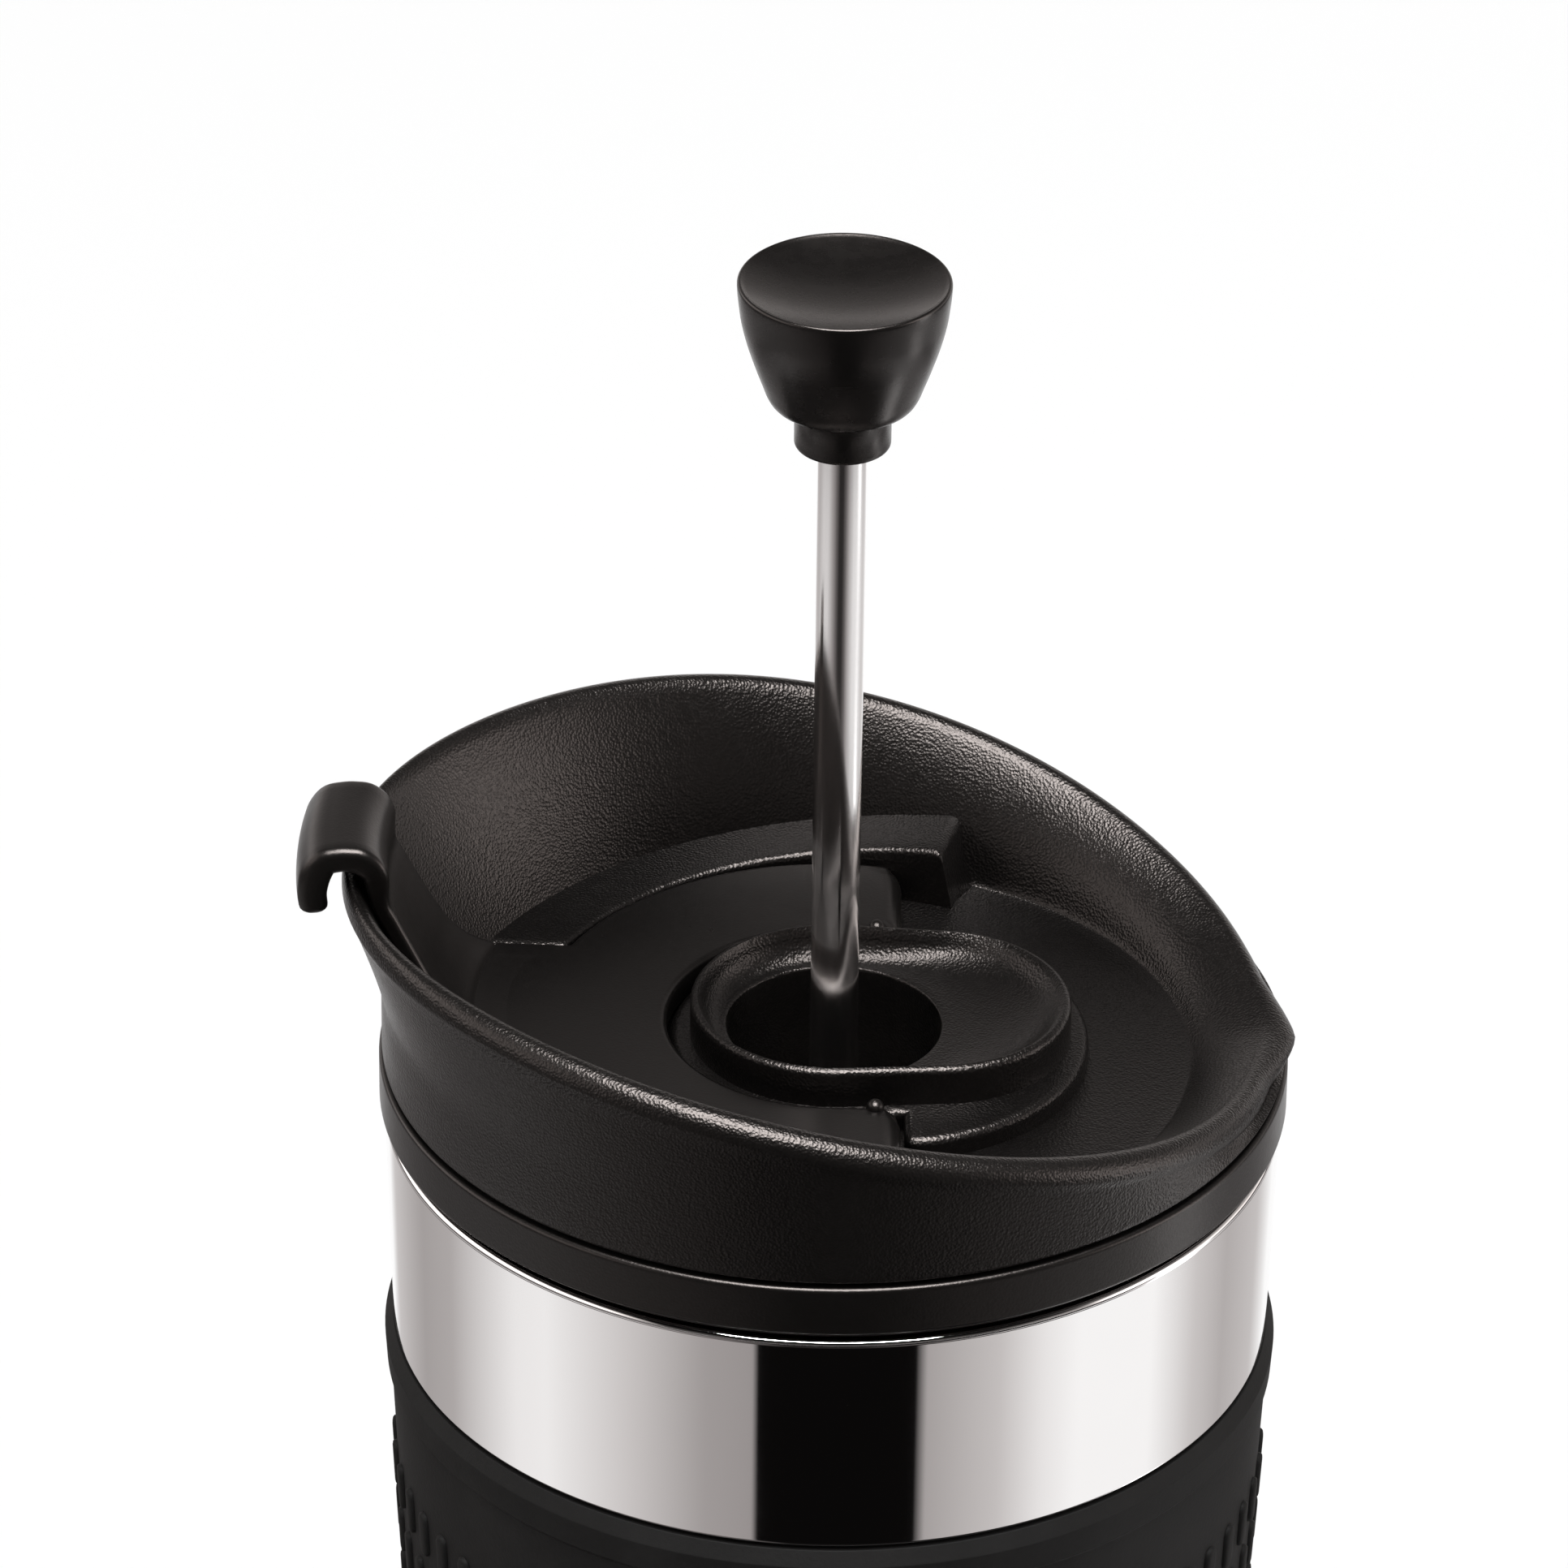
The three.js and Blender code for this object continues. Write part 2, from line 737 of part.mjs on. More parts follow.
// Low tier under the boss, cut back where the flap's arms lie.
function drum() {
  const inner = flapCutRadius - fit;
  const outerAngle = Math.acos((drumFacing - drumOffset) / drumRadius);
  const innerAngle = Math.acos(drumFacing / inner);
  const shape = new THREE.Shape();
  shape.absarc(drumOffset, 0, drumRadius, -outerAngle, outerAngle, false);
  shape.absarc(0, 0, inner, innerAngle, 2 * Math.PI - innerAngle, false);
  const hole = new THREE.Path();
  hole.absarc(0, 0, (wellRadius + wellTubeRadius) / 2, 0, 2 * Math.PI, true);
  shape.holes.push(hole);
  return toSolid(slab(shape, deckHeight - deckThickness / 2, drumHeight, smallFacets));
}

// Ledge on the inner wall, which carries a hinge pin. It falls towards the drinking side.
function ledge(side) {
  const start = radians(ledgeStartDegrees);
  const bevel = radians(ledgeBevelDegrees);
  const end = Math.PI - Math.asin(ledgeEndOffset / ledgeRootRadius) + bevel;
  const steps = smallFacets / 2;
  const bottom = deckHeight - deckThickness / 2;
  const azimuths = [start];
  for (let i = 0; i <= steps; i += 1) azimuths.push(start + bevel + (i / steps) * (end - start - bevel));
  const rings = azimuths.map((azimuth, i) => {
    const share = (end - azimuth) / (end - start);
    const rise = (ledgeHighHeight - ledgeLowHeight) * share * share;
    const top = ledgeLowHeight + rise - (i === 0 ? ledgeBevelDrop : 0);
    return [
      [ledgeInnerRadius, bottom],
      [ledgeInnerRadius, top - ledgeEdge],
      [ledgeInnerRadius + ledgeEdge, top],
      [ledgeRootRadius, top],
      [ledgeRootRadius, bottom],
    ].map(([radius, height]) => {
      const slant = radius === ledgeRootRadius && height === bottom ? radians(ledgeSlantDegrees) : 0;
      return around(radius, side * (azimuth - slant * share), height);
    });
  });
  const flapRoom = toSolid(box(
    [-lidRadius, -ledgeEndOffset, bottom - overrun],
    [0, ledgeEndOffset, ledgeHighHeight + overrun],
  ));
  return toSolid(loft(rings, false)).subtract(flapRoom);
}

// A slot with round ends that lies across X.
function slotShape(x, length, width) {
  const half = (length - width) / 2;
  const shape = new THREE.Shape();
  shape.absarc(x, half, width / 2, 0, Math.PI, false);
  shape.absarc(x, -half, width / 2, Math.PI, 2 * Math.PI, false);
  return shape;
}

function makeLidBody() {
  const sipShape = slotShape(-sipDistance, sipLength, sipWidth);
  const deckBottom = deckHeight - deckThickness;
  const cuts = [
    slab(sipShape, deckBottom - overrun, deckHeight + overrun, pinFacets / 2),
    cylinder(wiperNeckRadius + fit, wellFloor - wellWall - overrun, wellFloor + overrun, smallFacets),
    crossBar(pinBore, -pinReach - fit, -pinInnerReach, pinFacets, hingeOffset, hingeHeight),
    crossBar(pinBore, pinInnerReach, pinReach + fit, pinFacets, hingeOffset, hingeHeight),
  ];
  const body = union([lidShell(), bossAndWell(), drum(), ledge(1), ledge(-1)]);
  return toGeometry(cuts.reduce((solid, cut) => solid.subtract(toSolid(cut)), body));
}

function makeRodWiper() {
  const bottom = wellFloor - wellWall - fit - wiperLipThickness;
  const top = wellFloor + fit + wiperLipThickness;
  return turned([
    [rodBore, bottom],
    [wiperRadius, bottom],
    [wiperRadius, bottom + wiperLipThickness],
    [wiperNeckRadius, bottom + wiperLipThickness],
    [wiperNeckRadius, top - wiperLipThickness],
    [wiperRadius, top - wiperLipThickness],
    [wiperRadius - wiperLipThickness / 2, top],
    [rodBore, top],
  ], smallFacets);
}

// Slotted disc under the lid, which keeps the grounds out of the sip hole.
function makeLidStrainer() {
  const outer = skirtBore - fit;
  const bottom = strainerLift - skirtDepth;
  const shape = new THREE.Shape();
  shape.absarc(0, 0, outer, 0, 2 * Math.PI, false);
  for (let i = 0; i < slotCount; i += 1) {
    const slot = new THREE.Path();
    const angle = ((i + 1 / 2) / slotCount) * 2 * Math.PI;
    const out = point(Math.cos(angle), Math.sin(angle));
    const side = point(-out.y, out.x).multiplyScalar(slotWidth / 2);
    const near = out.clone().multiplyScalar(slotInnerRadius);
    const far = out.clone().multiplyScalar(slotOuterRadius);
    slot.moveTo(near.x + side.x, near.y + side.y);
    slot.lineTo(far.x + side.x, far.y + side.y);
    slot.lineTo(far.x - side.x, far.y - side.y);
    slot.lineTo(near.x - side.x, near.y - side.y);
    slot.closePath();
    shape.holes.push(slot);
  }
  const disc = toSolid(slab(shape, bottom, bottom + strainerThickness, smallFacets / 2));
  const hub = toSolid(cylinder(strainerHubRadius, bottom + strainerThickness / 2,
    bottom + strainerThickness + strainerHubHeight, smallFacets));
  const bore = toSolid(cylinder(rodBore, bottom - overrun,
    bottom + strainerThickness + strainerHubHeight + overrun, smallFacets));
  return toGeometry(disc.add(hub).subtract(bore));
}

function makeHingePin(side) {
  const ends = [side * (pinInnerReach + fit), side * pinReach];
  return crossBar(pinRadius, Math.min(...ends), Math.max(...ends), pinFacets, hingeOffset, hingeHeight);
}

// Flap: a plate round the boss, a tail up the inner wall and a hook over the rim

// Section of the flap through the axis, from the cut-out over the rim to the hook's tip and back.
function flapProfile() {
  const rim = rimAt(Math.PI);
  const wall = bowlCurve(Math.PI);
  const under = strapShares.map((share) => wall.getPoint(share));
  const bend = under.map((spot) => [spot.x - fit * 2, spot.y]);
  const back = bend.map(([radius, height]) => [radius - strapWall, height + strapWall / 2]).reverse();
  const hookBottom = tabHeight - hookDrop;
  const hookInner = swingReach(rim, hookBottom);
  const hookShoulder = swingReach(rim, rim.height);
  const archTop = tabHeight - flapWall;
  return [
    [flapCutRadius, flapUnderside],
    [tailReach, flapUnderside],
    ...bend,
    [rim.crest - flapWall / 2, archTop - fit],
    [rim.crest + fit, archTop],
    [hookShoulder, rim.height],
    [hookInner, hookBottom + flapEdge * 2],
    [tabReach - flapWall / 2, hookBottom],
    [tabReach - flapEdge, hookBottom + flapEdge],
    [tabReach, tabHeight - flapWall],
    [tabReach - flapWall / 2, tabHeight - flapWall / 3],
    [rim.crest + flapWall / 4, tabHeight],
    [rim.crest - flapWall / 2, tabHeight - flapWall / 6],
    [rim.crest - flapWall * 3 / 2, tabHeight - flapWall * 2 / 3],
    ...back,
    [tailReach - flapWall, flapOuterHeight + flapEdge],
    [flapRadius, flapOuterHeight],
    [flapCutRadius + flapEdge, flapInnerHeight],
    [flapCutRadius, flapInnerHeight - flapEdge],
  ];
}

// How far from the axis the hook's inside lies at one height, so that it swings clear of the lip.
function swingReach(rim, height) {
  const lip = point(rim.lip + hingeOffset, rim.height - beadHeight / 2 - hingeHeight);
  const swing = lip.length() + fit * 2;
  return Math.sqrt(swing ** 2 - (height - hingeHeight) ** 2) - hingeOffset;
}

// Plan of the flap: a half disc with two arms, and the tail that narrows to the strap and tab.
function flapPlan() {
  const cornerReach = flapArmEnd - armCorner;
  const armAngle = Math.acos(cornerReach / flapRadius);
  const outerCorner = flapRadius * Math.sin(armAngle) - armCorner;
  const innerCorner = flapCutRadius + armCorner;
  const tailAngle = Math.PI - Math.asin(tailHalfWidth / flapRadius);
  const shape = new THREE.Shape();
  shape.absarc(0, 0, flapRadius, armAngle, tailAngle, false);
  shape.lineTo(-tailReach, tailHalfWidth);
  shape.lineTo(-strapReach, tabHalfWidth + flapEdge);
  shape.lineTo(-tabReach - overrun, tabHalfWidth);
  shape.lineTo(-tabReach - overrun, -tabHalfWidth);
  shape.lineTo(-strapReach, -tabHalfWidth - flapEdge);
  shape.lineTo(-tailReach, -tailHalfWidth);
  shape.absarc(0, 0, flapRadius, -tailAngle, -armAngle, false);
  addCorner(shape, cornerReach, -outerCorner, armCorner, -Math.PI / 2);
  addCorner(shape, cornerReach, -innerCorner, armCorner, 0);
  shape.absarc(0, 0, flapCutRadius, -Math.PI / 2, Math.PI / 2, true);
  addCorner(shape, cornerReach, innerCorner, armCorner, -Math.PI / 2);
  addCorner(shape, cornerReach, outerCorner, armCorner, 0);
  return shape;
}

// A quarter turn about a corner's centre, in a few straight steps.
function addCorner(shape, x, y, radius, start) {
  const steps = pinFacets / 4;
  for (let i = 0; i <= steps; i += 1) {
    const angle = start + (i / steps) * (Math.PI / 2);
    shape.lineTo(x + radius * Math.cos(angle), y + radius * Math.sin(angle));
  }
}

// The room past one arm's end, between two heights, round a nose that is centred on the hinge.
function noseRoom(side, bottom, top, rise) {
  const span = [side * (flapCutRadius - overrun), side * (flapRadius + overrun)];
  const near = Math.min(...span);
  const far = Math.max(...span);
  const room = toSolid(box([hingeOffset, near, bottom], [flapArmEnd + overrun, far, top]));
  const nose = crossBar(armNose, near - overrun, far + overrun, smallFacets, 0, 0);
  nose.scale(1, 1, rise / armNose).translate(hingeOffset, 0, hingeHeight);
  return room.subtract(toSolid(nose));
}

// A round bar of the flap on one side, from a reach near the axis to one further out.
function sideBar(radius, side, near, far, facets, x, z) {
  const ends = [side * near, side * far];
  return toSolid(crossBar(radius, Math.min(...ends), Math.max(...ends), facets, x, z));
}

function makeFlap() {
  const past = flapRadius + overrun;
  const low = hingeHeight - knuckleRadius - overrun;
  const revolved = toSolid(turned(flapProfile(), bodyFacets + pinFacets));
  const plan = toSolid(slab(flapPlan(), low, tabHeight + overrun, smallFacets));
  const rounded = [-1, 1].map((side) =>
    sideBar(knuckleRadius, side, flapCutRadius, past, smallFacets, hingeOffset, hingeHeight));
  const nubs = [-1, 1].map((side) =>
    sideBar(nubRadius, side, flapCutRadius - nubReach, flapCutRadius + nubRadius,
      pinFacets, hingeOffset - nubReach, flapInnerHeight + nubRadius / 2));
  const swingRoom = [-1, 1].flatMap((side) => [
    noseRoom(side, low, hingeHeight, knuckleRadius),
    noseRoom(side, hingeHeight, hingeHeight + armNoseRise + overrun, armNoseRise),
  ]);
  const bores = [-1, 1].map((side) =>
    sideBar(pinBore, side, pinInnerReach, past, pinFacets, hingeOffset, hingeHeight));
  const socket = toSolid(cylinder(stopperStemRadius + fit, flapUnderside - overrun,
    flapUnderside + stopperStemHeight + fit, pinFacets, -sipDistance));
  const plate = union([union([revolved, ...rounded]).intersect(plan), ...nubs]);
  return toGeometry([...swingRoom, ...bores, socket].reduce((solid, cut) => solid.subtract(cut), plate));
}

function makeFlapStopper() {
  const plug = slotShape(-sipDistance, sipLength - 2 * plugFit, sipWidth - 2 * plugFit);
  const flange = slotShape(-sipDistance, sipLength + 2 * stopperFlange, sipWidth + 2 * stopperFlange);
  const flangeBottom = deckHeight + fit;
  const flangeTop = flapUnderside - fit;
  const facets = pinFacets / 2;
  const solid = union([
    toSolid(slab(plug, deckHeight - stopperDepth, flangeBottom + fit, facets)),
    toSolid(slab(flange, flangeBottom, flangeTop, facets)),
    toSolid(cylinder(stopperStemRadius, flangeBottom + fit, flangeTop + stopperStemHeight,
      pinFacets, -sipDistance)),
  ]);
  return toGeometry(solid);
}

// Plunger

function makeKnob() {
  const bowlBottom = knobBottom + neckHeight;
  const bowlHeight = knobTop - bowlBottom;
  const side = knobShares.map(([across, up]) => [knobRadius * across, bowlBottom + bowlHeight * up]);
  return turnedSolid([
    [0, knobTop - knobDishDepth],
    [knobCrestRadius / 2, knobTop - (knobDishDepth * 3) / 4],
    [(knobCrestRadius * 4) / 5, knobTop - knobDishDepth / 3],
    [knobCrestRadius - rimRound, knobTop - rimRound / 3],
    [knobCrestRadius, knobTop - rimRound / 3],
    ...side,
    [neckRadius, bowlBottom],
    [neckRadius, knobBottom + rimRound],
    [neckRadius - rimRound, knobBottom],
    [rodBore, knobBottom],
    [rodBore, knobBottom + rodSeatDepth],
    [0, knobBottom + rodSeatDepth],
  ], knobFacets);
}

function makeRod() {
  const top = knobBottom + rodSeatDepth - fit;
  return turnedSolid([
    [0, -rodBottom],
    [rodRadius - rimRound, -rodBottom],
    [rodRadius, -rodBottom + rimRound],
    [rodRadius, top - rimRound],
    [rodRadius - rimRound, top],
    [0, top],
  ], smallFacets);
}

// Heights of the filter's stack, from the nut up
const nutBottom = -rodBottom + fit;
const crossBottom = nutBottom + nutHeight + fit;
const meshBottom = crossBottom + discThickness + fit;
const discBottom = meshBottom + meshThickness + fit;
const hubBottom = discBottom + discThickness + fit;

function makeFilterHub() {
  return turned([
    [rodBore, hubBottom],
    [hubFlangeRadius, hubBottom],
    [hubFlangeRadius, hubBottom + hubFlangeThickness],
    [hubRadius, hubBottom + hubFlangeThickness],
    [hubRadius, hubBottom + hubHeight - rimRound],
    [hubRadius - rimRound, hubBottom + hubHeight],
    [rodBore, hubBottom + hubHeight],
  ], smallFacets);
}

function discShape(radius) {
  const shape = new THREE.Shape();
  shape.absarc(0, 0, radius, 0, 2 * Math.PI, false);
  return shape;
}

function roundHole(radius, x, y) {
  const hole = new THREE.Path();
  hole.absarc(x, y, radius, 0, 2 * Math.PI, true);
  return hole;
}

// Perforated disc above the mesh.
function makeFilterDisc() {
  const shape = discShape(discRadius);
  const innermost = hubFlangeRadius + holeRadius;
  for (let radius = discRadius - holeRim; radius > innermost; radius -= holePitch) {
    const count = Math.floor((2 * Math.PI * radius) / (holePitch + holeRadius));
    for (let i = 0; i < count; i += 1) {
      const angle = (i / count) * 2 * Math.PI;
      shape.holes.push(roundHole(holeRadius, radius * Math.cos(angle), radius * Math.sin(angle)));
    }
  }
  return toSolid(slab(shape, discBottom, discBottom + discThickness, pinFacets / 3 - 1));
}

// Star-shaped plate under the mesh.
function makeCrossPlate() {
  const shape = discShape(discRadius);
  const barAngle = (radius) => Math.asin(windowBarWidth / 2 / radius);
  for (let i = 0; i < windowCount; i += 1) {
    const start = (i / windowCount) * 2 * Math.PI;
    const end = ((i + 1) / windowCount) * 2 * Math.PI;
    const hole = new THREE.Path();
    hole.absarc(0, 0, windowOuterRadius, start + barAngle(windowOuterRadius),
      end - barAngle(windowOuterRadius), false);
    hole.absarc(0, 0, windowInnerRadius, end - barAngle(windowInnerRadius),
      start + barAngle(windowInnerRadius), true);
    shape.holes.push(hole);
  }
  return toSolid(slab(shape, crossBottom, crossBottom + discThickness, pinFacets / 2));
}

function bored(solid, bottom, top) {
  return toGeometry(solid.subtract(toSolid(cylinder(rodBore, bottom - overrun, top + overrun, smallFacets))));
}

function makeFilterMesh() {
  const radius = boreFit - sealWall - fit;
  return turned([
    [rodBore, meshBottom],
    [radius, meshBottom],
    [radius, meshBottom + meshThickness],
    [rodBore, meshBottom + meshThickness],
  ], innerFacets);
}

// Silicone ring that grips the edge of the mesh and wipes the bore with two lips.
function makeFilterSeal() {
  const below = meshBottom - fit;
  const above = meshBottom + meshThickness + fit;
  const root = boreFit - sealWall;
  const waist = boreFit - sealWall / 3;
  return turned([
    [discRadius + fit, below - sealLipHeight],
    [boreFit, below - sealLipHeight],
    [waist, below],
    [waist, above],
    [boreFit, above + sealLipHeight],
    [discRadius + fit, above + sealLipHeight],
    [discRadius + fit, above],
    [root, above],
    [root, below],
    [discRadius + fit, below],
  ], innerFacets);
}

function makeFilterNut() {
  return turned([
    [rodBore, nutBottom],
    [nutRadius - rimRound, nutBottom],
    [nutRadius, nutBottom + rimRound],
    [nutRadius, nutBottom + nutHeight],
    [rodBore, nutBottom + nutHeight],
  ], pinFacets);
}

addPiece(press, 'outer_shell', makeOuterShell(), 'steel');
addPiece(press, 'inner_liner', makeInnerLiner(), 'liner');
addPiece(press, 'base_plate', makeBasePlate(), 'liner');
addPiece(press, 'foot_pad', makeFootPad(), 'silicone');
addPiece(press, 'grip_sleeve', makeGripSleeve(), 'silicone');
addPiece(press, 'mouth_collar', makeMouthCollar(), 'blackPlastic');
addPiece(press, 'lid_gasket', makeLidGasket(), 'clearSilicone');
addPiece(lid, 'lid_body', makeLidBody(), 'blackPlastic');
addPiece(lid, 'lid_strainer', makeLidStrainer(), 'blackPlastic');
addPiece(lid, 'rod_wiper', makeRodWiper(), 'clearSilicone');
addPiece(lid, 'hinge_pin_front', makeHingePin(-1), 'steel');
addPiece(lid, 'hinge_pin_back', makeHingePin(1), 'steel');
addPiece(lid, 'drinking_flap', makeFlap(), 'blackPlastic');
addPiece(lid, 'flap_stopper', makeFlapStopper(), 'clearSilicone');
addPiece(plunger, 'plunger_knob', makeKnob(), 'knobPlastic');
addPiece(plunger, 'plunger_rod', makeRod(), 'steel');
addPiece(plunger, 'filter_hub', makeFilterHub(), 'steel');
addPiece(plunger, 'filter_disc', bored(makeFilterDisc(), discBottom, hubBottom), 'steel');
addPiece(plunger, 'filter_mesh', makeFilterMesh(), 'liner');
addPiece(plunger, 'filter_seal', makeFilterSeal(), 'clearSilicone');
addPiece(plunger, 'filter_cross_plate', bored(makeCrossPlate(), crossBottom, meshBottom), 'steel');
addPiece(plunger, 'filter_nut', makeFilterNut(), 'steel');

export default press;
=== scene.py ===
# Travel french press: camera, light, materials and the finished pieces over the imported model.
# Sizes are in millimetres and angles in degrees. The meshes are in metres, +Z up, foot at zero.
from math import acos, asin, atan2, cos, hypot, pi, radians, sin, sqrt, tan

import bmesh
import bpy
from mathutils import Matrix, Vector


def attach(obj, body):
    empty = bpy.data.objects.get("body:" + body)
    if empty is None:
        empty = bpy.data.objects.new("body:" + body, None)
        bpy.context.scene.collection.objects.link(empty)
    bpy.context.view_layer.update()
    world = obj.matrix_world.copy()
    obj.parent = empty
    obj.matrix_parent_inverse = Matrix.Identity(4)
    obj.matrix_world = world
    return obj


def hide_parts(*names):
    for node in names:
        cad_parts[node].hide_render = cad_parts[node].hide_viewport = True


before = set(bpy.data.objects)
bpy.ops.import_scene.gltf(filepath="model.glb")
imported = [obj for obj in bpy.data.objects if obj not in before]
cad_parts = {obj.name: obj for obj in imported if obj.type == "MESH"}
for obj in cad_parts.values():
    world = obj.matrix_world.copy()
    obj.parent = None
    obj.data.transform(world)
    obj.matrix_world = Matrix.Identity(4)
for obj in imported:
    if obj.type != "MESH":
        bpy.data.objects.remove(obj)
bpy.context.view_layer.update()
scene = bpy.context.scene
mm = 0.001
steelTop = 165.0  # the steel's edge: the collar, lid, flap and plunger count their heights from it
print("frame loaded")

# Camera: fitted to the photograph's square frame

cameraView = {
    "distance": 800,
    "elevation": 30.16,
    "roll": 0.68,
    "pan": 0.364,
    "targetHeight": 195.15,
    "lens": 223.3,
    "film": 36,
    "clip": (0.05, 50),
}


def newObject(name, data):
    made = bpy.data.objects.new(name, data)
    scene.collection.objects.link(made)
    return made


def addCamera(view):
    tilt, pan, roll = radians(view["elevation"]), radians(view["pan"]), radians(view["roll"])
    forward = Vector((-sin(pan) * cos(tilt), cos(pan) * cos(tilt), -sin(tilt)))
    right = forward.cross(Vector((0, 0, 1))).normalized()
    up = right.cross(forward)
    turnedRight = cos(roll) * right + sin(roll) * up
    turnedUp = cos(roll) * up - sin(roll) * right
    place = Vector((0, -view["distance"] * cos(tilt), view["targetHeight"] + view["distance"] * sin(tilt)))
    data = bpy.data.cameras.new("camera")
    data.lens = view["lens"]
    data.sensor_width = view["film"]
    data.clip_start, data.clip_end = view["clip"]
    camera = newObject("camera", data)
    turn = Matrix((turnedRight, turnedUp, -forward)).transposed().to_4x4()
    camera.matrix_world = Matrix.Translation(place * mm) @ turn
    scene.camera = camera


addCamera(cameraView)


# Shader writing: one class wraps a socket, one method adds any other node

class Value:
    def __init__(self, sheet, socket):
        self.sheet = sheet
        self.socket = socket

    def maths(self, operation, first, second=None):
        inputs = [first] if second is None else [first, second]
        return self.sheet.node("ShaderNodeMath", {"operation": operation}, dict(enumerate(inputs)))

    def __add__(self, other): return self.maths("ADD", self, other)
    def __radd__(self, other): return self.maths("ADD", other, self)
    def __sub__(self, other): return self.maths("SUBTRACT", self, other)
    def __rsub__(self, other): return self.maths("SUBTRACT", other, self)
    def __mul__(self, other): return self.maths("MULTIPLY", self, other)
    def __rmul__(self, other): return self.maths("MULTIPLY", other, self)
    def __truediv__(self, other): return self.maths("DIVIDE", self, other)
    def __rtruediv__(self, other): return self.maths("DIVIDE", other, self)
    def __mod__(self, other): return self.maths("FLOORED_MODULO", self, other)
    def floor(self): return self.maths("FLOOR", self)
    def sine(self): return self.maths("SINE", self)
    def cosine(self): return self.maths("COSINE", self)
    def root(self): return self.maths("SQRT", self)
    def most(self, other): return self.maths("MAXIMUM", self, other)
    def more(self, other): return self.maths("GREATER_THAN", self, other)
    def angleFrom(self, other): return self.maths("ARCTAN2", self, other)

    def between(self, low, high):
        return self.sheet.node("ShaderNodeMapRange", {"interpolation_type": "SMOOTHSTEP", "clamp": True},
                               {"Value": self, "From Min": low, "From Max": high})


class Sheet:
    def __init__(self, tree):
        self.tree = tree

    def node(self, kind, settings=None, inputs=None, output=0):
        made = self.tree.nodes.new(kind)
        for key, value in (settings or {}).items():
            if key == "stops":
                ramp = made.color_ramp
                while len(ramp.elements) < len(value):
                    ramp.elements.new(0.5)
                for element, (place, colour) in zip(ramp.elements, value):
                    element.position = place
                    element.color = (*colour, 1)
            else:
                setattr(made, key, value)
        for key, value in (inputs or {}).items():
            socket = made.inputs[key]
            if isinstance(value, Value):
                self.tree.links.new(value.socket, socket)
            elif getattr(socket, "type", "") == "RGBA":
                socket.default_value = (*value, 1)
            else:
                socket.default_value = value
        return Value(self, made.outputs[output])

    def grey(self, colour):
        return self.node("ShaderNodeSeparateColor", {}, {0: colour})

    def parts(self, vector):
        return [self.node("ShaderNodeSeparateXYZ", {}, {0: vector}, axis) for axis in range(3)]

    def vector(self, x, y, z):
        return self.node("ShaderNodeCombineXYZ", {}, {0: x, 1: y, 2: z})

    def ramp(self, stops, where):
        return self.node("ShaderNodeValToRGB", {"stops": stops}, {"Fac": where})

    def ray(self, kind):
        return self.node("ShaderNodeLightPath", output=f"Is {kind} Ray")

    def mixed(self, factor, first, second):
        return self.node("ShaderNodeMix", {"data_type": "RGBA"}, {0: factor, 6: first, 7: second}, 2)


class Finish(Sheet):
    def __init__(self, name):
        self.material = bpy.data.materials.new(name)
        self.material.use_nodes = True
        super().__init__(self.material.node_tree)
        self.tree.nodes.clear()
        self.end = self.tree.nodes.new("ShaderNodeOutputMaterial")

    def place(self):
        return self.node("ShaderNodeTexCoord", output="Object")

    def stretched(self, where, turn, scale):
        return self.node("ShaderNodeMapping", {}, {"Vector": where, "Rotation": turn, "Scale": scale})

    def noise(self, where, scale, detail=2.0, roughness=0.5):
        return self.node("ShaderNodeTexNoise", {}, {
            "Vector": where, "Scale": scale, "Detail": detail, "Roughness": roughness})

    def bump(self, height, distance, strength=1.0):
        return self.node("ShaderNodeBump", {}, {
            "Height": height, "Distance": distance, "Strength": strength})

    def surface(self, inputs):
        return self.closed(self.node("ShaderNodeBsdfPrincipled", {}, inputs))

    def closed(self, shader):
        self.tree.links.new(shader.socket, self.end.inputs["Surface"])
        return self.material


def evaluatedMesh(piece):
    bpy.context.view_layer.update()
    return bpy.data.meshes.new_from_object(piece.evaluated_get(bpy.context.evaluated_depsgraph_get()))


# Geometry Nodes writing: named inputs, and a result that is taken as a plain mesh

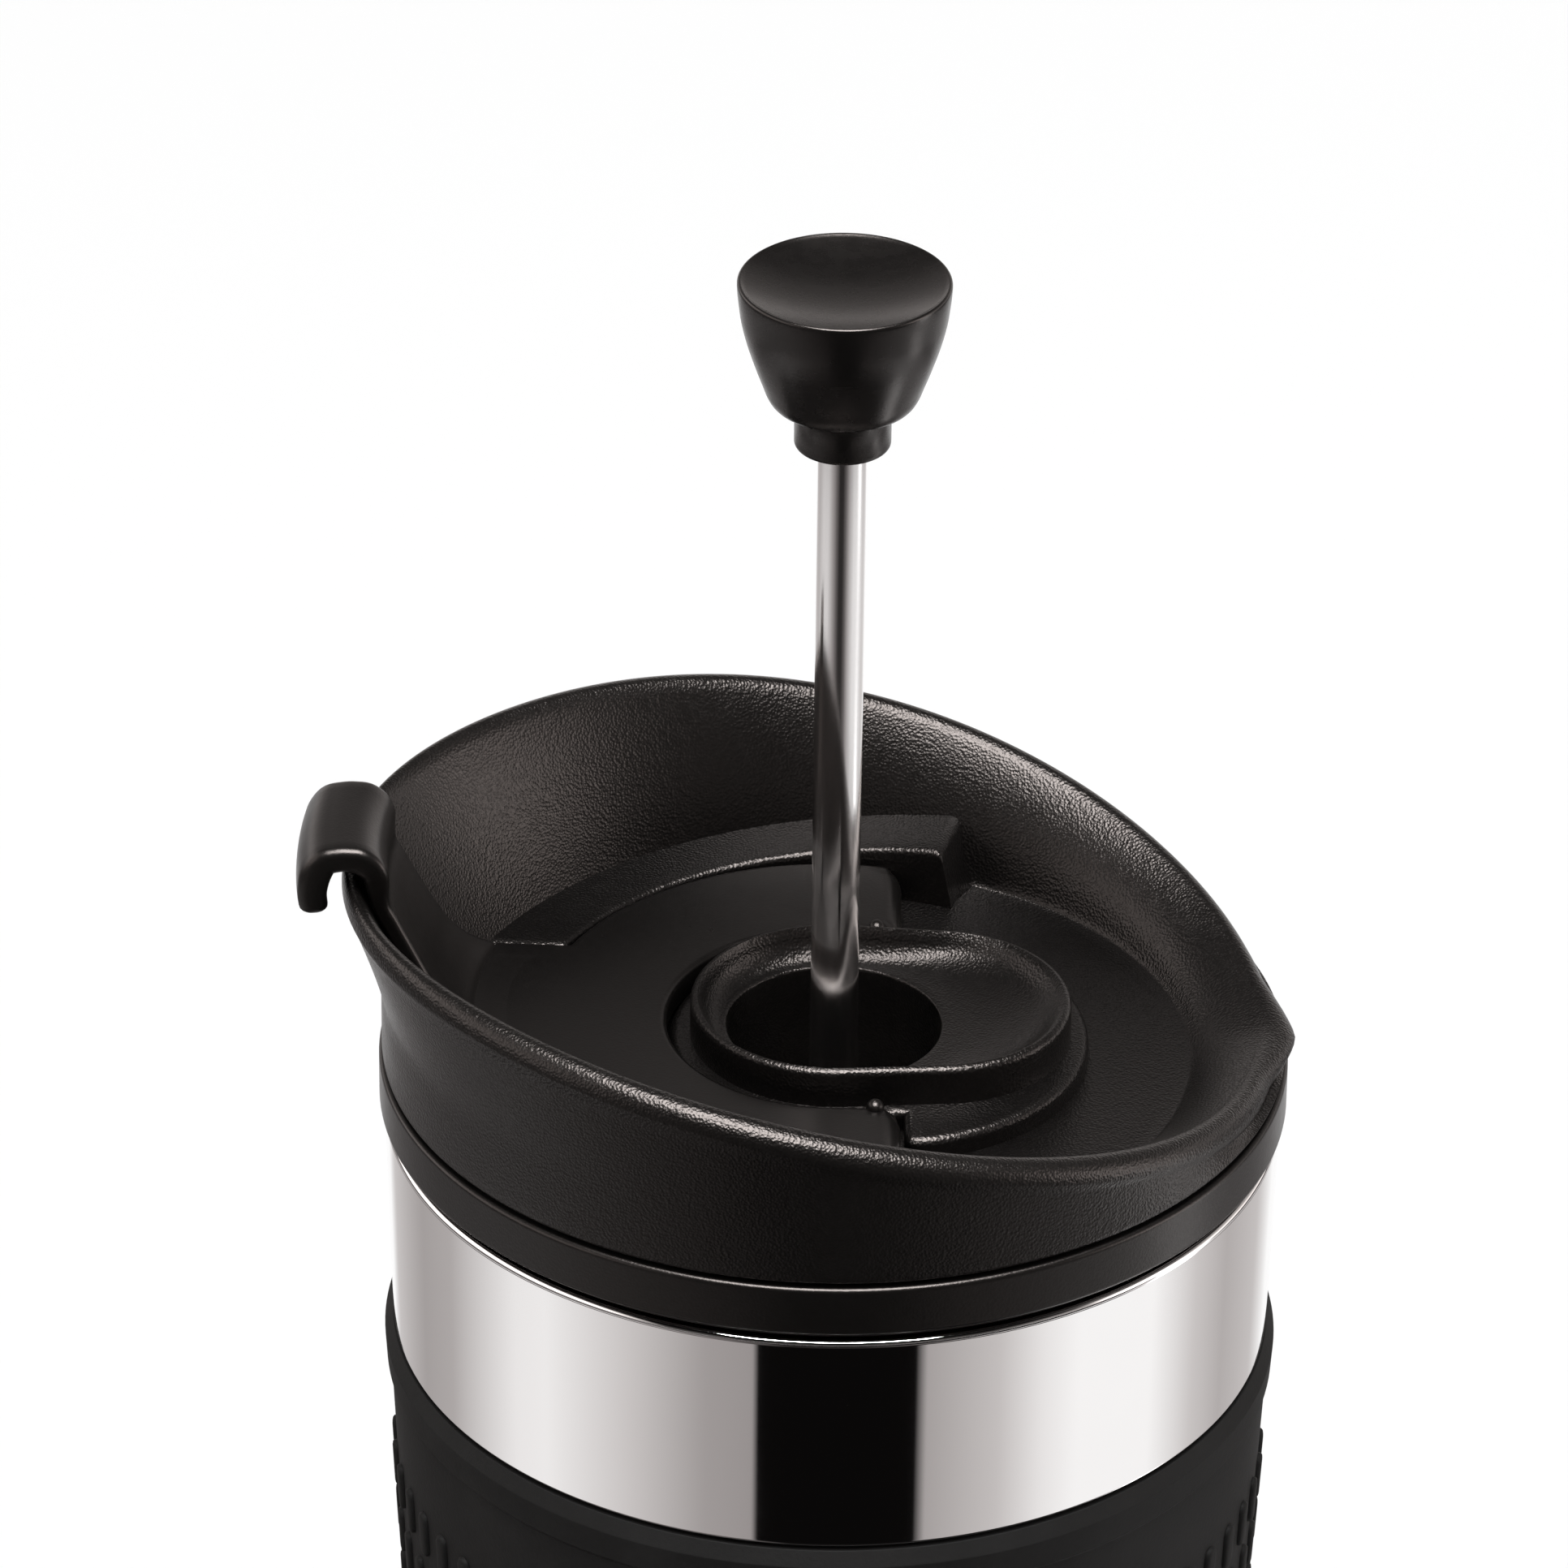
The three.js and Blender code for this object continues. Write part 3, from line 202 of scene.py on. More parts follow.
class Repeat(Sheet):
    def __init__(self, name):
        super().__init__(bpy.data.node_groups.new(name, "GeometryNodeTree"))
        self.name = name
        self.values = {}
        self.tree.interface.new_socket("Geometry", in_out="OUTPUT", socket_type="NodeSocketGeometry")
        self.inside = self.tree.nodes.new("NodeGroupInput")
        self.end = self.tree.nodes.new("NodeGroupOutput")

    def size(self, name, value):
        kind = "NodeSocketInt" if isinstance(value, int) else "NodeSocketFloat"
        if isinstance(value, bpy.types.Object):
            kind = "NodeSocketObject"
        item = self.tree.interface.new_socket(name, in_out="INPUT", socket_type=kind)
        self.values[item.identifier] = value
        return Value(self, self.inside.outputs[name])

    def shape(self, piece):
        return self.node("GeometryNodeObjectInfo", {}, {"Object": piece}, "Geometry")

    def index(self):
        return self.node("GeometryNodeInputIndex")

    def points(self, count, position):
        return self.node("GeometryNodePoints", {}, {"Count": count, "Position": position})

    def onPoints(self, points, shape, turn=(0, 0, 0), scale=(1, 1, 1)):
        return self.node("GeometryNodeInstanceOnPoints", {}, {
            "Points": points, "Instance": shape, "Rotation": turn, "Scale": scale})

    def result(self, geometry, material):
        real = self.node("GeometryNodeRealizeInstances", {}, {0: geometry})
        dressed = real
        if material:
            dressed = self.node("GeometryNodeSetMaterial", {}, {"Geometry": real, "Material": material})
        self.tree.links.new(dressed.socket, self.end.inputs[0])
        holder = newObject(self.name, bpy.data.meshes.new(self.name))
        modifier = holder.modifiers.new(self.name, "NODES")
        modifier.node_group = self.tree
        for identifier, value in self.values.items():
            modifier[identifier] = value
        mesh = evaluatedMesh(holder)
        bpy.data.objects.remove(holder)
        return mesh


# Black moulded plastic: fine pebble grain, soft mottling and faint scuffs

plasticLook = {
    "colour": (0.0036, 0.0032, 0.0030),
    "worn": (0.0066, 0.0061, 0.0058),
    "grainScale": 4300,
    "grainDepth": 0.00005,
    "shine": 0.36,
    "warmth": (1.0, 0.90, 0.86),
}


def makePlastic(name, look, grain, roughness, colour=None):
    sheet = Finish(name)
    where = sheet.place()
    mottle = sheet.noise(where, 55, 3)
    fine = sheet.noise(where, 900, 4, 0.6)
    scuffs = sheet.noise(sheet.stretched(where, (0.4, 0.3, 0.9), (1, 9, 9)), 60, 5, 0.7).between(0.6, 0.78)
    pebbles = sheet.node("ShaderNodeTexVoronoi", {"feature": "SMOOTH_F1"}, {
        "Vector": where, "Scale": look["grainScale"], "Smoothness": 0.35})
    return sheet.surface({
        "Base Color": sheet.mixed(mottle.between(0.3, 0.75) * 0.4 + scuffs * 0.3,
                                  colour or look["colour"], look["worn"]),
        "Roughness": roughness + (fine - 0.5) * 0.10 + scuffs * 0.05 + (mottle - 0.5) * 0.06,
        "Specular IOR Level": look["shine"],
        "Specular Tint": look["warmth"],
        "Normal": sheet.bump(pebbles * grain + fine * (0.08 + 0.3 * grain), look["grainDepth"], 0.8),
    })


lidPlastic = makePlastic("lidPlastic", plasticLook, 1.0, 0.30)
flapPlastic = makePlastic("flapPlastic", plasticLook, 0.12, 0.30)
collarPlastic = makePlastic("collarPlastic", plasticLook, 0.2, 0.30)
knobPlastic = makePlastic("knobPlastic", {**plasticLook, "shine": 0.42}, 0.1, 0.27, (0.0042, 0.0038, 0.0036))
strainerPlastic = makePlastic("strainerPlastic", plasticLook, 0.3, 0.40)


# Stainless steel: mirror polish with faint turned lines, or a satin brushed finish

steelLook = {
    "colour": (0.93, 0.915, 0.91),
    "satin": (0.70, 0.69, 0.68),
    "wire": (0.55, 0.545, 0.54),
    "lines": 5200,
}


def makeSteel(name, look, colour, roughness, lineDepth):
    sheet = Finish(name)
    where = sheet.place()
    lines = sheet.noise(sheet.stretched(where, (0, 0, 0), (0.02, 0.02, 1)), look["lines"], 2, 0.6)
    smears = sheet.noise(where, 38, 4, 0.6)
    return sheet.surface({
        "Base Color": sheet.mixed(smears.between(0.35, 0.8) * 0.3, colour,
                                  tuple(0.95 * part for part in colour)),
        "Metallic": 1.0,
        "Roughness": roughness + smears.between(0.45, 0.8) * 0.02 + (lines - 0.5) * 0.015,
        "Normal": sheet.bump(lines, lineDepth, 0.5),
    })


polishedSteel = makeSteel("polishedSteel", steelLook, steelLook["colour"], 0.045, 0.0000008)
rodSteel = makeSteel("rodSteel", steelLook, steelLook["colour"], 0.13, 0.0000008)
satinSteel = makeSteel("satinSteel", steelLook, steelLook["satin"], 0.26, 0.000004)
wireSteel = makeSteel("wireSteel", steelLook, steelLook["wire"], 0.22, 0.000001)


# Silicone: dull black for the grip and foot, milky grey for the seals

def makeSilicone(name, colour, dusty, roughness, grain):
    sheet = Finish(name)
    where = sheet.place()
    dust = sheet.noise(where, 120, 5, 0.7)
    fine = sheet.noise(where, 2400, 3, 0.6)
    return sheet.surface({
        "Base Color": sheet.mixed(dust.between(0.35, 0.8) * 0.6, colour, dusty),
        "Roughness": roughness + (dust - 0.5) * 0.12,
        "Specular IOR Level": 0.13,
        "Normal": sheet.bump(fine, grain, 0.7),
    })


gripSilicone = makeSilicone("gripSilicone", (0.0075, 0.0070, 0.0067), (0.013, 0.0122, 0.0118), 0.72, 0.00004)
footSilicone = makeSilicone("footSilicone", (0.012, 0.0115, 0.011), (0.03, 0.028, 0.026), 0.62, 0.00005)
sealSilicone = makeSilicone("sealSilicone", (0.30, 0.295, 0.285), (0.36, 0.355, 0.34), 0.42, 0.00002)
print("materials made")


# Mesh helpers

# Corners are (radius, height, fillet). A guard point beside each fillet keeps the flats' shading flat.
def filleted(corners, closed=True, steps=5, guard=0.12):
    made = []
    count = len(corners)
    for i, corner in enumerate(corners):
        spot = Vector(corner[:2])
        fillet = corner[2] if len(corner) > 2 else 0
        if not fillet or (not closed and i in (0, count - 1)):
            made.append(tuple(spot))
            continue
        before = Vector(corners[i - 1][:2]) - spot
        after = Vector(corners[(i + 1) % count][:2]) - spot
        half = before.angle(after) / 2
        reach = min(fillet / tan(half), before.length * 0.46, after.length * 0.46)
        radius = reach * tan(half)
        start = spot + before.normalized() * reach
        end = spot + after.normalized() * reach
        middle = spot + (before.normalized() + after.normalized()).normalized() * radius / sin(half)
        first, last = start - middle, end - middle
        sweep = first.angle_signed(last)
        if before.length / 2 - reach > guard * 1.2:
            made.append(tuple(start + before.normalized() * guard))
        for k in range(steps + 1):
            turn = Matrix.Rotation(-sweep * k / steps, 2)
            made.append(tuple(middle + turn @ first))
        if after.length / 2 - reach > guard * 1.2:
            made.append(tuple(end + after.normalized() * guard))
    return made


def ringFaces(bm, rings, looped=False):
    spans = len(rings) if looped else len(rings) - 1
    for i in range(spans):
        low, high = rings[i], rings[(i + 1) % len(rings)]
        for j in range(len(low)):
            k = (j + 1) % len(low)
            corners = []
            for vert in (low[j], low[k], high[k], high[j]):
                if vert not in corners:
                    corners.append(vert)
            if len(corners) > 2:
                bm.faces.new(corners)


def addRing(bm, spots):
    return [bm.verts.new(Vector(spot) * mm) for spot in spots]


def lathe(bm, profile, steps=160, closed=True, place=None):
    lay = place or (lambda x, y, z: (x, y, z))
    rings = []
    for radius, height in profile:
        if radius < 1e-6:  # a pole is one vertex
            rings.append(addRing(bm, [lay(0, 0, height)]) * steps)
        else:
            turns = [2 * pi * k / steps for k in range(steps)]
            rings.append(addRing(bm, [lay(radius * cos(turn), radius * sin(turn), height) for turn in turns]))
    ringFaces(bm, rings, looped=closed)


def meshFrom(name, bm, material=None):
    mesh = bpy.data.meshes.new(name)
    bm.to_mesh(mesh)
    bm.free()
    if material:
        mesh.materials.append(material)
    return mesh


def smoothed(mesh, sharp):
    mesh.shade_smooth()
    mesh.set_sharp_from_angle(angle=radians(sharp))


def ridingPiece(name, mesh, body, nodes=(), sharp=50):
    smoothed(mesh, sharp)
    piece = newObject(name, mesh)
    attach(piece, body)
    if nodes:
        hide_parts(*nodes)
    return piece


def finishPiece(name, bm, material, body, nodes=(), sharp=38):
    bmesh.ops.recalc_face_normals(bm, faces=bm.faces)
    return ridingPiece(name, meshFrom(name, bm, material), body, nodes, sharp)


def turnedPiece(name, corners, material, body, nodes=(), closed=True, steps=160, place=None):
    bm = bmesh.new()
    lathe(bm, filleted(corners, closed), steps, closed, place)
    return finishPiece(name, bm, material, body, nodes)


def lifted(corners):  # takes heights over the steel's edge
    return [(corner[0], steelTop + corner[1], *corner[2:]) for corner in corners]


def washer(near, far, low, thick, under, over):  # section of a flat ring with rounded outer edges
    return lifted([(near, low, 0.1), (far, low, under), (far, low + thick, over), (near, low + thick, 0.1)])


def heading(ahead, behind):
    return Vector((ahead[0] - behind[0], ahead[1] - behind[1])).normalized()


def insetOutline(spots, distance):  # moves a smooth closed outline inwards; the outline runs anticlockwise
    moved = []
    for k, (x, y) in enumerate(spots):
        run = heading(spots[(k + 1) % len(spots)], spots[k - 1])
        step = distance[k] if isinstance(distance, list) else distance
        moved.append((x - run.y * step, y + run.x * step))
    return moved


def arc(cx, cy, radius, start, end, steps):
    turns = [start + (end - start) * k / steps for k in range(steps + 1)]
    return [(cx + radius * cos(turn), cy + radius * sin(turn)) for turn in turns]


def circle(radius, steps, x=0):
    return arc(x, 0, radius, 0, 2 * pi * (steps - 1) / steps, steps - 1)


def quarter(steps, first=0):  # sines and cosines over a quarter turn
    turns = [k / steps * pi / 2 for k in range(first, steps + 1)]
    return [(sin(turn), cos(turn)) for turn in turns]


def smoothPath(path, steps=5):  # runs a smooth curve through the stations
    made = []
    for k in range(len(path) - 1):
        before, here, after, last = path[max(k - 1, 0)], path[k], path[k + 1], path[min(k + 2, len(path) - 1)]
        for j in range(steps):
            t = j / steps
            made.append(tuple(0.5 * (2 * b + (c - a) * t + (2 * a - 5 * b + 4 * c - d) * t * t
                                     + (3 * b - a - 3 * c + d) * t ** 3)
                              for a, b, c, d in zip(before, here, after, last)))
    made.append(path[-1])
    return made


def slotOutline(x, length, width, steps=14):
    half = (length - width) / 2
    return arc(x, half, width / 2, 0, pi, steps) + arc(x, -half, width / 2, pi, 2 * pi, steps)


def closedStack(bm, rings):
    made = [addRing(bm, ring) for ring in rings]
    ringFaces(bm, made)
    bm.faces.new(list(reversed(made[0])))
    bm.faces.new(made[-1])


def raisedPlate(bm, outline, bottom, top, edge, low=0.0, steps=5):  # heights over the steel's edge
    bottom, top = steelTop + bottom, steelTop + top
    under = quarter(steps) if low else [(0, 1)]
    rings = [[(x, y, bottom + low * (1 - sine)) for x, y in insetOutline(outline, low * (1 - cosine))]
             for sine, cosine in reversed(under)]
    rings += [[(x, y, top - edge * (1 - sine)) for x, y in insetOutline(outline, edge * (1 - cosine))]
              for sine, cosine in quarter(steps)]
    closedStack(bm, rings)


def scratchObject(name, bm):
    bmesh.ops.recalc_face_normals(bm, faces=bm.faces)
    return newObject(name, meshFrom(name, bm))


def prism(name, outline, low, high):  # heights over the steel's edge
    bm = bmesh.new()
    closedStack(bm, [[(x, y, steelTop + z) for x, y in outline] for z in (low, high)])
    return scratchObject(name, bm)


def cutWith(target, cutter):
    tool = target.modifiers.new("cut", "BOOLEAN")
    tool.operation = "DIFFERENCE"
    tool.solver = "EXACT"
    tool.object = cutter
    mesh = evaluatedMesh(target)
    target.modifiers.remove(tool)
    target.data = mesh
    bpy.data.objects.remove(cutter)
    smoothed(mesh, 38)


def turnedCopies(name, piece, count, offset=0.0):  # copies of a piece round the axis, as one object
    sheet = Repeat(name)
    number = sheet.size("Count", count)
    angle = (sheet.index() + offset) * 2 * pi / number
    shape = sheet.shape(sheet.size("Piece", piece))
    copies = sheet.onPoints(sheet.points(number, (0, 0, 0)), shape, sheet.vector(0, 0, angle))
    mesh = sheet.result(copies, None)
    bpy.data.objects.remove(piece)
    return newObject(name, mesh)


# Vessel

vessel = {
    "topRadius": 37.5,
    "bandHeight": 20.15,
    "bandFootRadius": 37.0,
    "baseRadius": 29.9,
    "wall": 0.8,
    "lipWall": 1.5,
    "rimRound": 0.5,
    "bottom": 2.3,
    "corner": 2.4,
    "lip": 2.4,
    "sleeveDrop": 20.6,
    "sleeveHeight": 79.0,
    "sleeveThickness": 1.5,
    "sleeveProud": 0.6,
    "sleeveLip": 3.2,
    "sleeveLipProud": 0.14,
    "sleeveSlope": 1.35,
    "fit": 0.3,
}
bandFoot = steelTop - vessel["bandHeight"]
sleeveTop = steelTop - vessel["sleeveDrop"]
sleeveBottom = sleeveTop - vessel["sleeveHeight"]


def steelRadius(height):
    if height > bandFoot:
        share = (height - bandFoot) / vessel["bandHeight"]
        return vessel["bandFootRadius"] + share * (vessel["topRadius"] - vessel["bandFootRadius"])
    share = (height - vessel["bottom"]) / (bandFoot - vessel["bottom"])
    return vessel["baseRadius"] + share * (vessel["bandFootRadius"] - vessel["baseRadius"])


def makeShell(v):
    high, low = sleeveTop + v["fit"], sleeveBottom - v["fit"]  # the recess that the sleeve sits in
    depth = v["sleeveThickness"] + v["fit"] - v["sleeveProud"]
    upper, lower, base = steelRadius(high), steelRadius(low), v["baseRadius"]
    wall, bottom = v["wall"], v["bottom"]
    hole, lip = base - v["corner"] - v["lip"], v["topRadius"] - v["lipWall"]
    turnedPiece("outerShell", [
        (hole, bottom, 0.2), (base - 0.1, bottom, 2.3), (lower, low, 0.25), (lower - depth, low, 0.2),
        (upper - depth, high, 0.2), (upper, high, 0.25), (v["topRadius"], steelTop, v["rimRound"]),
        (lip, steelTop, 0.2), (lip, steelTop - 1.6, 0.4), (v["topRadius"] - wall, steelTop - 2.4, 0.4),
        (upper - wall, high + wall, 0.3), (upper - depth - wall, high, 0.3), (lower - depth - wall, low, 0.3),
        (lower - wall, low - wall, 0.3), (base - wall, bottom + wall, 1.6), (hole, bottom + wall, 0.2),
    ], polishedSteel, "vessel", ["outer_shell"], steps=192)


liner = {
    "wall": 0.7, "bore": 27.3, "floor": 8.7, "floorRadius": 6.0,
    "shoulderTop": 18, "shoulderBottom": 27, "mouth": 33.6, "flange": 36.4,
}


def makeLiner(v):
    high, low = steelTop - v["shoulderTop"], steelTop - v["shoulderBottom"]
    wall = v["wall"]
    bore, mouth, floor, flange = v["bore"], v["mouth"], v["floor"], steelTop - v["wall"]
    turnedPiece("innerLiner", [
        (0, floor - wall), (bore + wall, floor - wall, v["floorRadius"] + wall), (bore + wall, low, 3),
        (mouth + wall, high, 3), (mouth + wall, flange, 0.3), (v["flange"], flange, 0.2),
        (v["flange"], steelTop, 0.2), (mouth, steelTop, 0.6), (mouth, high + wall, 3), (bore, low + wall, 3),
        (bore, floor, v["floorRadius"]), (0, floor),
    ], satinSteel, "vessel", ["inner_liner"], closed=False)


foot = {
    "grooves": (14.0, 22.0), "groove": ((0, 0), (0.3, 0.35), (2.6, 0.35), (2.9, 0)),
    "radius": 28.6, "hub": 24.8, "step": 2.0, "high": 3.1,
}


def makeFoot(v):
    corners = [(0, 0)]
    for start in v["grooves"]:
        corners += [(start + across, rise, 0.1) for across, rise in v["groove"]]
    radius, step, hub, high = v["radius"], v["step"], v["hub"], v["high"]
    turnedPiece("footPad", corners + [
        (radius, 0, 0.55), (radius, step, 0.3), (hub, step, 0.1), (hub, high, 0.2), (0, high),
    ], footSilicone, "vessel", ["foot_pad"], closed=False)


def makeSleeve(v):
    def outer(height): return steelRadius(height) + v["sleeveProud"]
    def inner(height): return outer(height) - v["sleeveThickness"]
    lipFoot = sleeveTop - v["sleeveLip"]
    proud = v["sleeveLipProud"]
    turnedPiece("gripSleeve", [
        (inner(sleeveBottom), sleeveBottom, 0.2),
        (outer(sleeveBottom), sleeveBottom, 0.45),
        (outer(lipFoot) - 0.2, lipFoot - 1.1, 0.3),
        (outer(lipFoot) + proud, lipFoot - 0.7, 0.2),
        (outer(sleeveTop) + proud, sleeveTop - v["sleeveSlope"], 0.2),
        (steelRadius(sleeveTop) + 0.05, sleeveTop - 0.05, 0.08),
        (inner(sleeveTop), sleeveTop - 0.05, 0.2),
    ], gripSilicone, "vessel", ["grip_sleeve"], steps=192)


grip = {
    "columns": 62, "rows": 11, "firstRow": 7.5, "rowStep": 5.7, "ribWidth": 1.5, "ribHeight": 4.4,
    "proud": 0.3, "seat": 0.12,
}


def makeRib(v):  # one low rib with rounded ends, which stands out along X
    bm = bmesh.new()
    straight = (v["ribHeight"] - v["ribWidth"]) / 2
    rings = []
    for share, proud in ((1, -v["seat"]), (0.97, 0.12), (0.78, 0.25), (0.42, v["proud"])):
        radius = v["ribWidth"] / 2 * share
        ends = arc(0, straight, radius, 0, pi, 4) + arc(0, -straight, radius, pi, 2 * pi, 4)
        rings.append([(proud, across, tall) for across, tall in ends])
    closedStack(bm, rings)
    return scratchObject("rib", bm)


def makeGrip(v):
    rib = makeRib(v)
    sheet = Repeat("gripRibs")
    columns, rows = sheet.size("Columns", v["columns"]), sheet.size("Rows", v["rows"])
    row = (sheet.index() / columns).floor()
    angle = ((sheet.index() % columns) + (row % 2) * 0.5) * 2 * pi / columns
    first = sleeveBottom + v["firstRow"]
    lean = (vessel["bandFootRadius"] - vessel["baseRadius"]) / (bandFoot - vessel["bottom"])
    level = row * v["rowStep"] + first
    radius = (level - first) * lean + (steelRadius(first) + vessel["sleeveProud"])
    place = sheet.vector(angle.cosine() * radius * mm, angle.sine() * radius * mm, level * mm)
    ribs = sheet.onPoints(sheet.points(columns * rows, place), sheet.shape(sheet.size("Rib", rib)),
                          sheet.vector(0, lean, angle))
    ridingPiece("gripRibs", sheet.result(ribs, gripSilicone), "vessel")
    bpy.data.objects.remove(rib)


collar = {
    "radius": 37.95, "top": 5.3, "groove": 0.9, "grooveRadius": 37.1, "wall": 1.55,
    "bore": 32.0, "tubeWall": 1.3, "tubeDepth": 15.0, "seat": 1.6, "fit": 0.3,
}


def makeCollar(v):
    nest, tube = v["radius"] - v["wall"], v["bore"] + v["tubeWall"]
    turnedPiece("mouthCollar", lifted([
        (v["bore"], -v["tubeDepth"], 0.2), (tube, -v["tubeDepth"], 0.3), (tube, v["fit"], 0.2),
        (v["grooveRadius"], v["fit"], 0.1), (v["grooveRadius"], v["groove"], 0.1),
        (v["radius"], v["groove"], 0.35), (v["radius"], v["top"], 0.4), (nest, v["top"], 0.15),
        (nest, v["seat"], 0.15), (v["bore"], v["seat"], 0.3),
    ]), collarPlastic, "vessel", ["mouth_collar"], steps=192)


gasketSection = [(32.3, 1.9, 0.2), (36.1, 1.9, 0.2), (36.1, 2.45, 0.15), (35.55, 3.0, 0.2), (32.3, 3.0, 0.3)]

makeShell(vessel)
makeLiner(liner)
makeFoot(foot)
makeSleeve(vessel)
makeGrip(grip)
makeCollar(collar)
turnedPiece("lidGasket", lifted(gasketSection), sealSilicone, "seal", ["lid_gasket"])
print("vessel made")

# Lid, with heights over the steel's edge

lid = {
    "radius": 37.7, "edge": 0.4, "deck": 4.5, "deckThickness": 1.8, "bowlFoot": 29.6,
    "skirt": 31.7, "skirtWall": 1.5, "skirtDepth": 12, "seat": 3.3, "nest": 36.1, "parting": 5.6,
    "threadDepth": 0.55, "threadPitch": 3.4,
    "rim": 36.0, "high": 22.9, "mid": 18.66, "low": 7.45,
    "rimFlare": 4.3, "lipFlare": 2.95, "flareStart": 12, "flareSharpness": 9.2, "flareCurve": 1.25,
    "beadHeight": 2.2, "beadProud": 0.25,
    "pinch": 0.9, "beakSharpness": 7, "beakReach": 1.6, "beakHalfWidth": 7, "beakInnerShare": 0.35,
    "deckLoop": 20, "sunk": 0.9, "fit": 0.3, "toolHeight": 8,
    "well": 8.95, "wellWall": 1.5, "wellDepth": 6.0, "wellEdgeHeight": 7.2, "wellCorner": 1,
    "wellRound": 0.27, "wiperHole": 3.3, "boss": 12.0, "scoop": 11.3, "scoopOffset": 8.5, "bossHeight": 9.8,
    "bossEdge": 0.6, "bossFoot": 0.5, "bossLip": 0.15, "lipShare": 0.16,
    "drum": 17.3, "drumOffset": 4.0, "drumHeight": 6.4, "drumFacing": 5.9, "flapCut": 14.0,
    "drumBore": 9.7, "drumEdge": 0.75, "drumSunk": 0.8, "cornerRoom": 2.5,
    "sipDistance": 20.5, "sipLength": 12, "sipWidth": 6,
    "ledgeInner": 25.3, "ledgeRoot": 34.0, "ledgeHigh": 9.9, "ledgeLow": 7.5, "ledgeEdge": 0.55,
    "ledgeStart": 69.5, "ledgeLean": 3, "ledgeSlant": 6, "ledgeEnd": 10.8,
    "ledgeRounds": (0.018, 0.965, 0.7, 1.35),  # where the ends' rounding stops and starts, and how deep it is
}
twoSides = ((-1, "Front"), (1, "Back"))


def rimHeight(x, v=lid):
    share = x / v["rim"]
    tilt = (v["low"] - v["high"]) / 2
    sag = (v["low"] + v["high"]) / 2 - v["mid"]
    return v["mid"] + tilt * share + sag * share * share


def rimAt(azimuth, v=lid):
    flare = ((1 - cos(azimuth)) / 2) ** v["flareSharpness"]
    pinch = v["pinch"] * ((1 + cos(azimuth)) / 2) ** v["beakSharpness"]
    turn = abs(atan2(sin(azimuth), cos(azimuth))) * v["rim"] / v["beakHalfWidth"]
    beak = v["beakReach"] * max(0, 1.1 - sqrt(turn * turn + 0.01))  # a tent with a rounded ridge
    crest = v["rim"] + v["rimFlare"] * flare - pinch / 2 + beak * v["beakInnerShare"]
    lip = v["radius"] + v["beadProud"] + v["lipFlare"] * flare - pinch + beak
    return crest, rimHeight(crest * cos(azimuth)), lip, flare


def bezier(points, t):
    a, b, c, d = points
    s = 1 - t
    return a * s ** 3 + b * 3 * s * s * t + c * 3 * s * t * t + d * t ** 3


def bowlPoints(azimuth, v=lid):
    crest, height, lip, flare = rimAt(azimuth)
    foot = Vector((v["bowlFoot"], v["deck"]))
    top = Vector((crest - v["beadProud"] * 2, height - v["beadProud"]))
    reach = top - foot

    def along(x, y, lean): return Vector((foot.x + (x + lean * flare) * reach.x, foot.y + y * reach.y))
    return [foot, along(0.13, 0.04, 0.06), along(0.18, 0.58, 0.47), top]


def lidSection(azimuth, v):
    crest, height, lip, flare = rimAt(azimuth)
    wallFoot = v["parting"] + v["edge"]
    beadFoot = max(height - v["beadHeight"], wallFoot + v["edge"] / 2)
    beadRadius = lip - v["beadProud"]
    section = filleted([
        (v["skirt"] - v["skirtWall"], v["deck"] - v["deckThickness"], 0.5),
        (v["skirt"] - v["skirtWall"], -v["skirtDepth"], 0.3),
        (v["skirt"] - v["threadDepth"], -v["skirtDepth"], 0.4),
        (v["skirt"] - v["threadDepth"], -v["skirtDepth"] + 1),
    ], False, 4)
    rows = 40
    for k in range(rows + 1):  # two-start thread on the skirt, which fades out at both ends
        level = -v["skirtDepth"] + 1.2 + (v["skirtDepth"] - 0.9) * k / rows
        phase = 2 * pi * level / v["threadPitch"] - 2 * azimuth
        ridge = max(0, cos(phase)) ** 0.7 * min(1, 4 * k / rows, 4 * (rows - k) / rows)
        section.append((v["skirt"] - v["threadDepth"] * (1 - ridge), level))
    section += filleted([
        (v["skirt"] - v["threadDepth"], 0.5), (v["skirt"] - v["threadDepth"], 0.9, 0.2),
        (v["skirt"], 0.9, 0.2), (v["skirt"], v["seat"], 0.3), (v["nest"], v["seat"], 0.2),
        (v["nest"], v["parting"], 0.1),
    ], False, 4)
    section += [(v["radius"] - v["edge"] * (1 - sine), v["parting"] + v["edge"] * (1 - cosine))
                for sine, cosine in quarter(4)]
    steps = 14
    for k in range(1, steps + 1):  # outer wall, which leans out to the bead
        share = k / steps
        level = wallFoot + share * (beadFoot - wallFoot)
        rise = max(0, (level - v["flareStart"]) / max(beadFoot - v["flareStart"], v["beadHeight"]))
        blend = min(1, max(0, (beadFoot - v["flareStart"] + 2) / 4))
        lean = rise ** v["flareCurve"] * blend + share * (1 - blend)
        section.append((v["radius"] + (beadRadius - v["radius"]) * lean, level))
    top = height - beadFoot
    for sine, cosine in quarter(10):  # the bead, round the lip and over the crest
        across = crest + (lip - crest) * 0.95 * cosine ** 0.8
        section.append((across, beadFoot + 0.18 * top + 0.82 * top * sine ** 1.15))
    curve = bowlPoints(azimuth)
    section += [tuple(bezier(curve, 1 - k / 26)) for k in range(27)]
    inner = v["well"] + v["wellWall"] / 2
    section += [(radius, v["deck"]) for radius in (v["bowlFoot"] - 1.2, v["deckLoop"], inner)]
    return section + [(inner, v["deck"] - v["deckThickness"])]


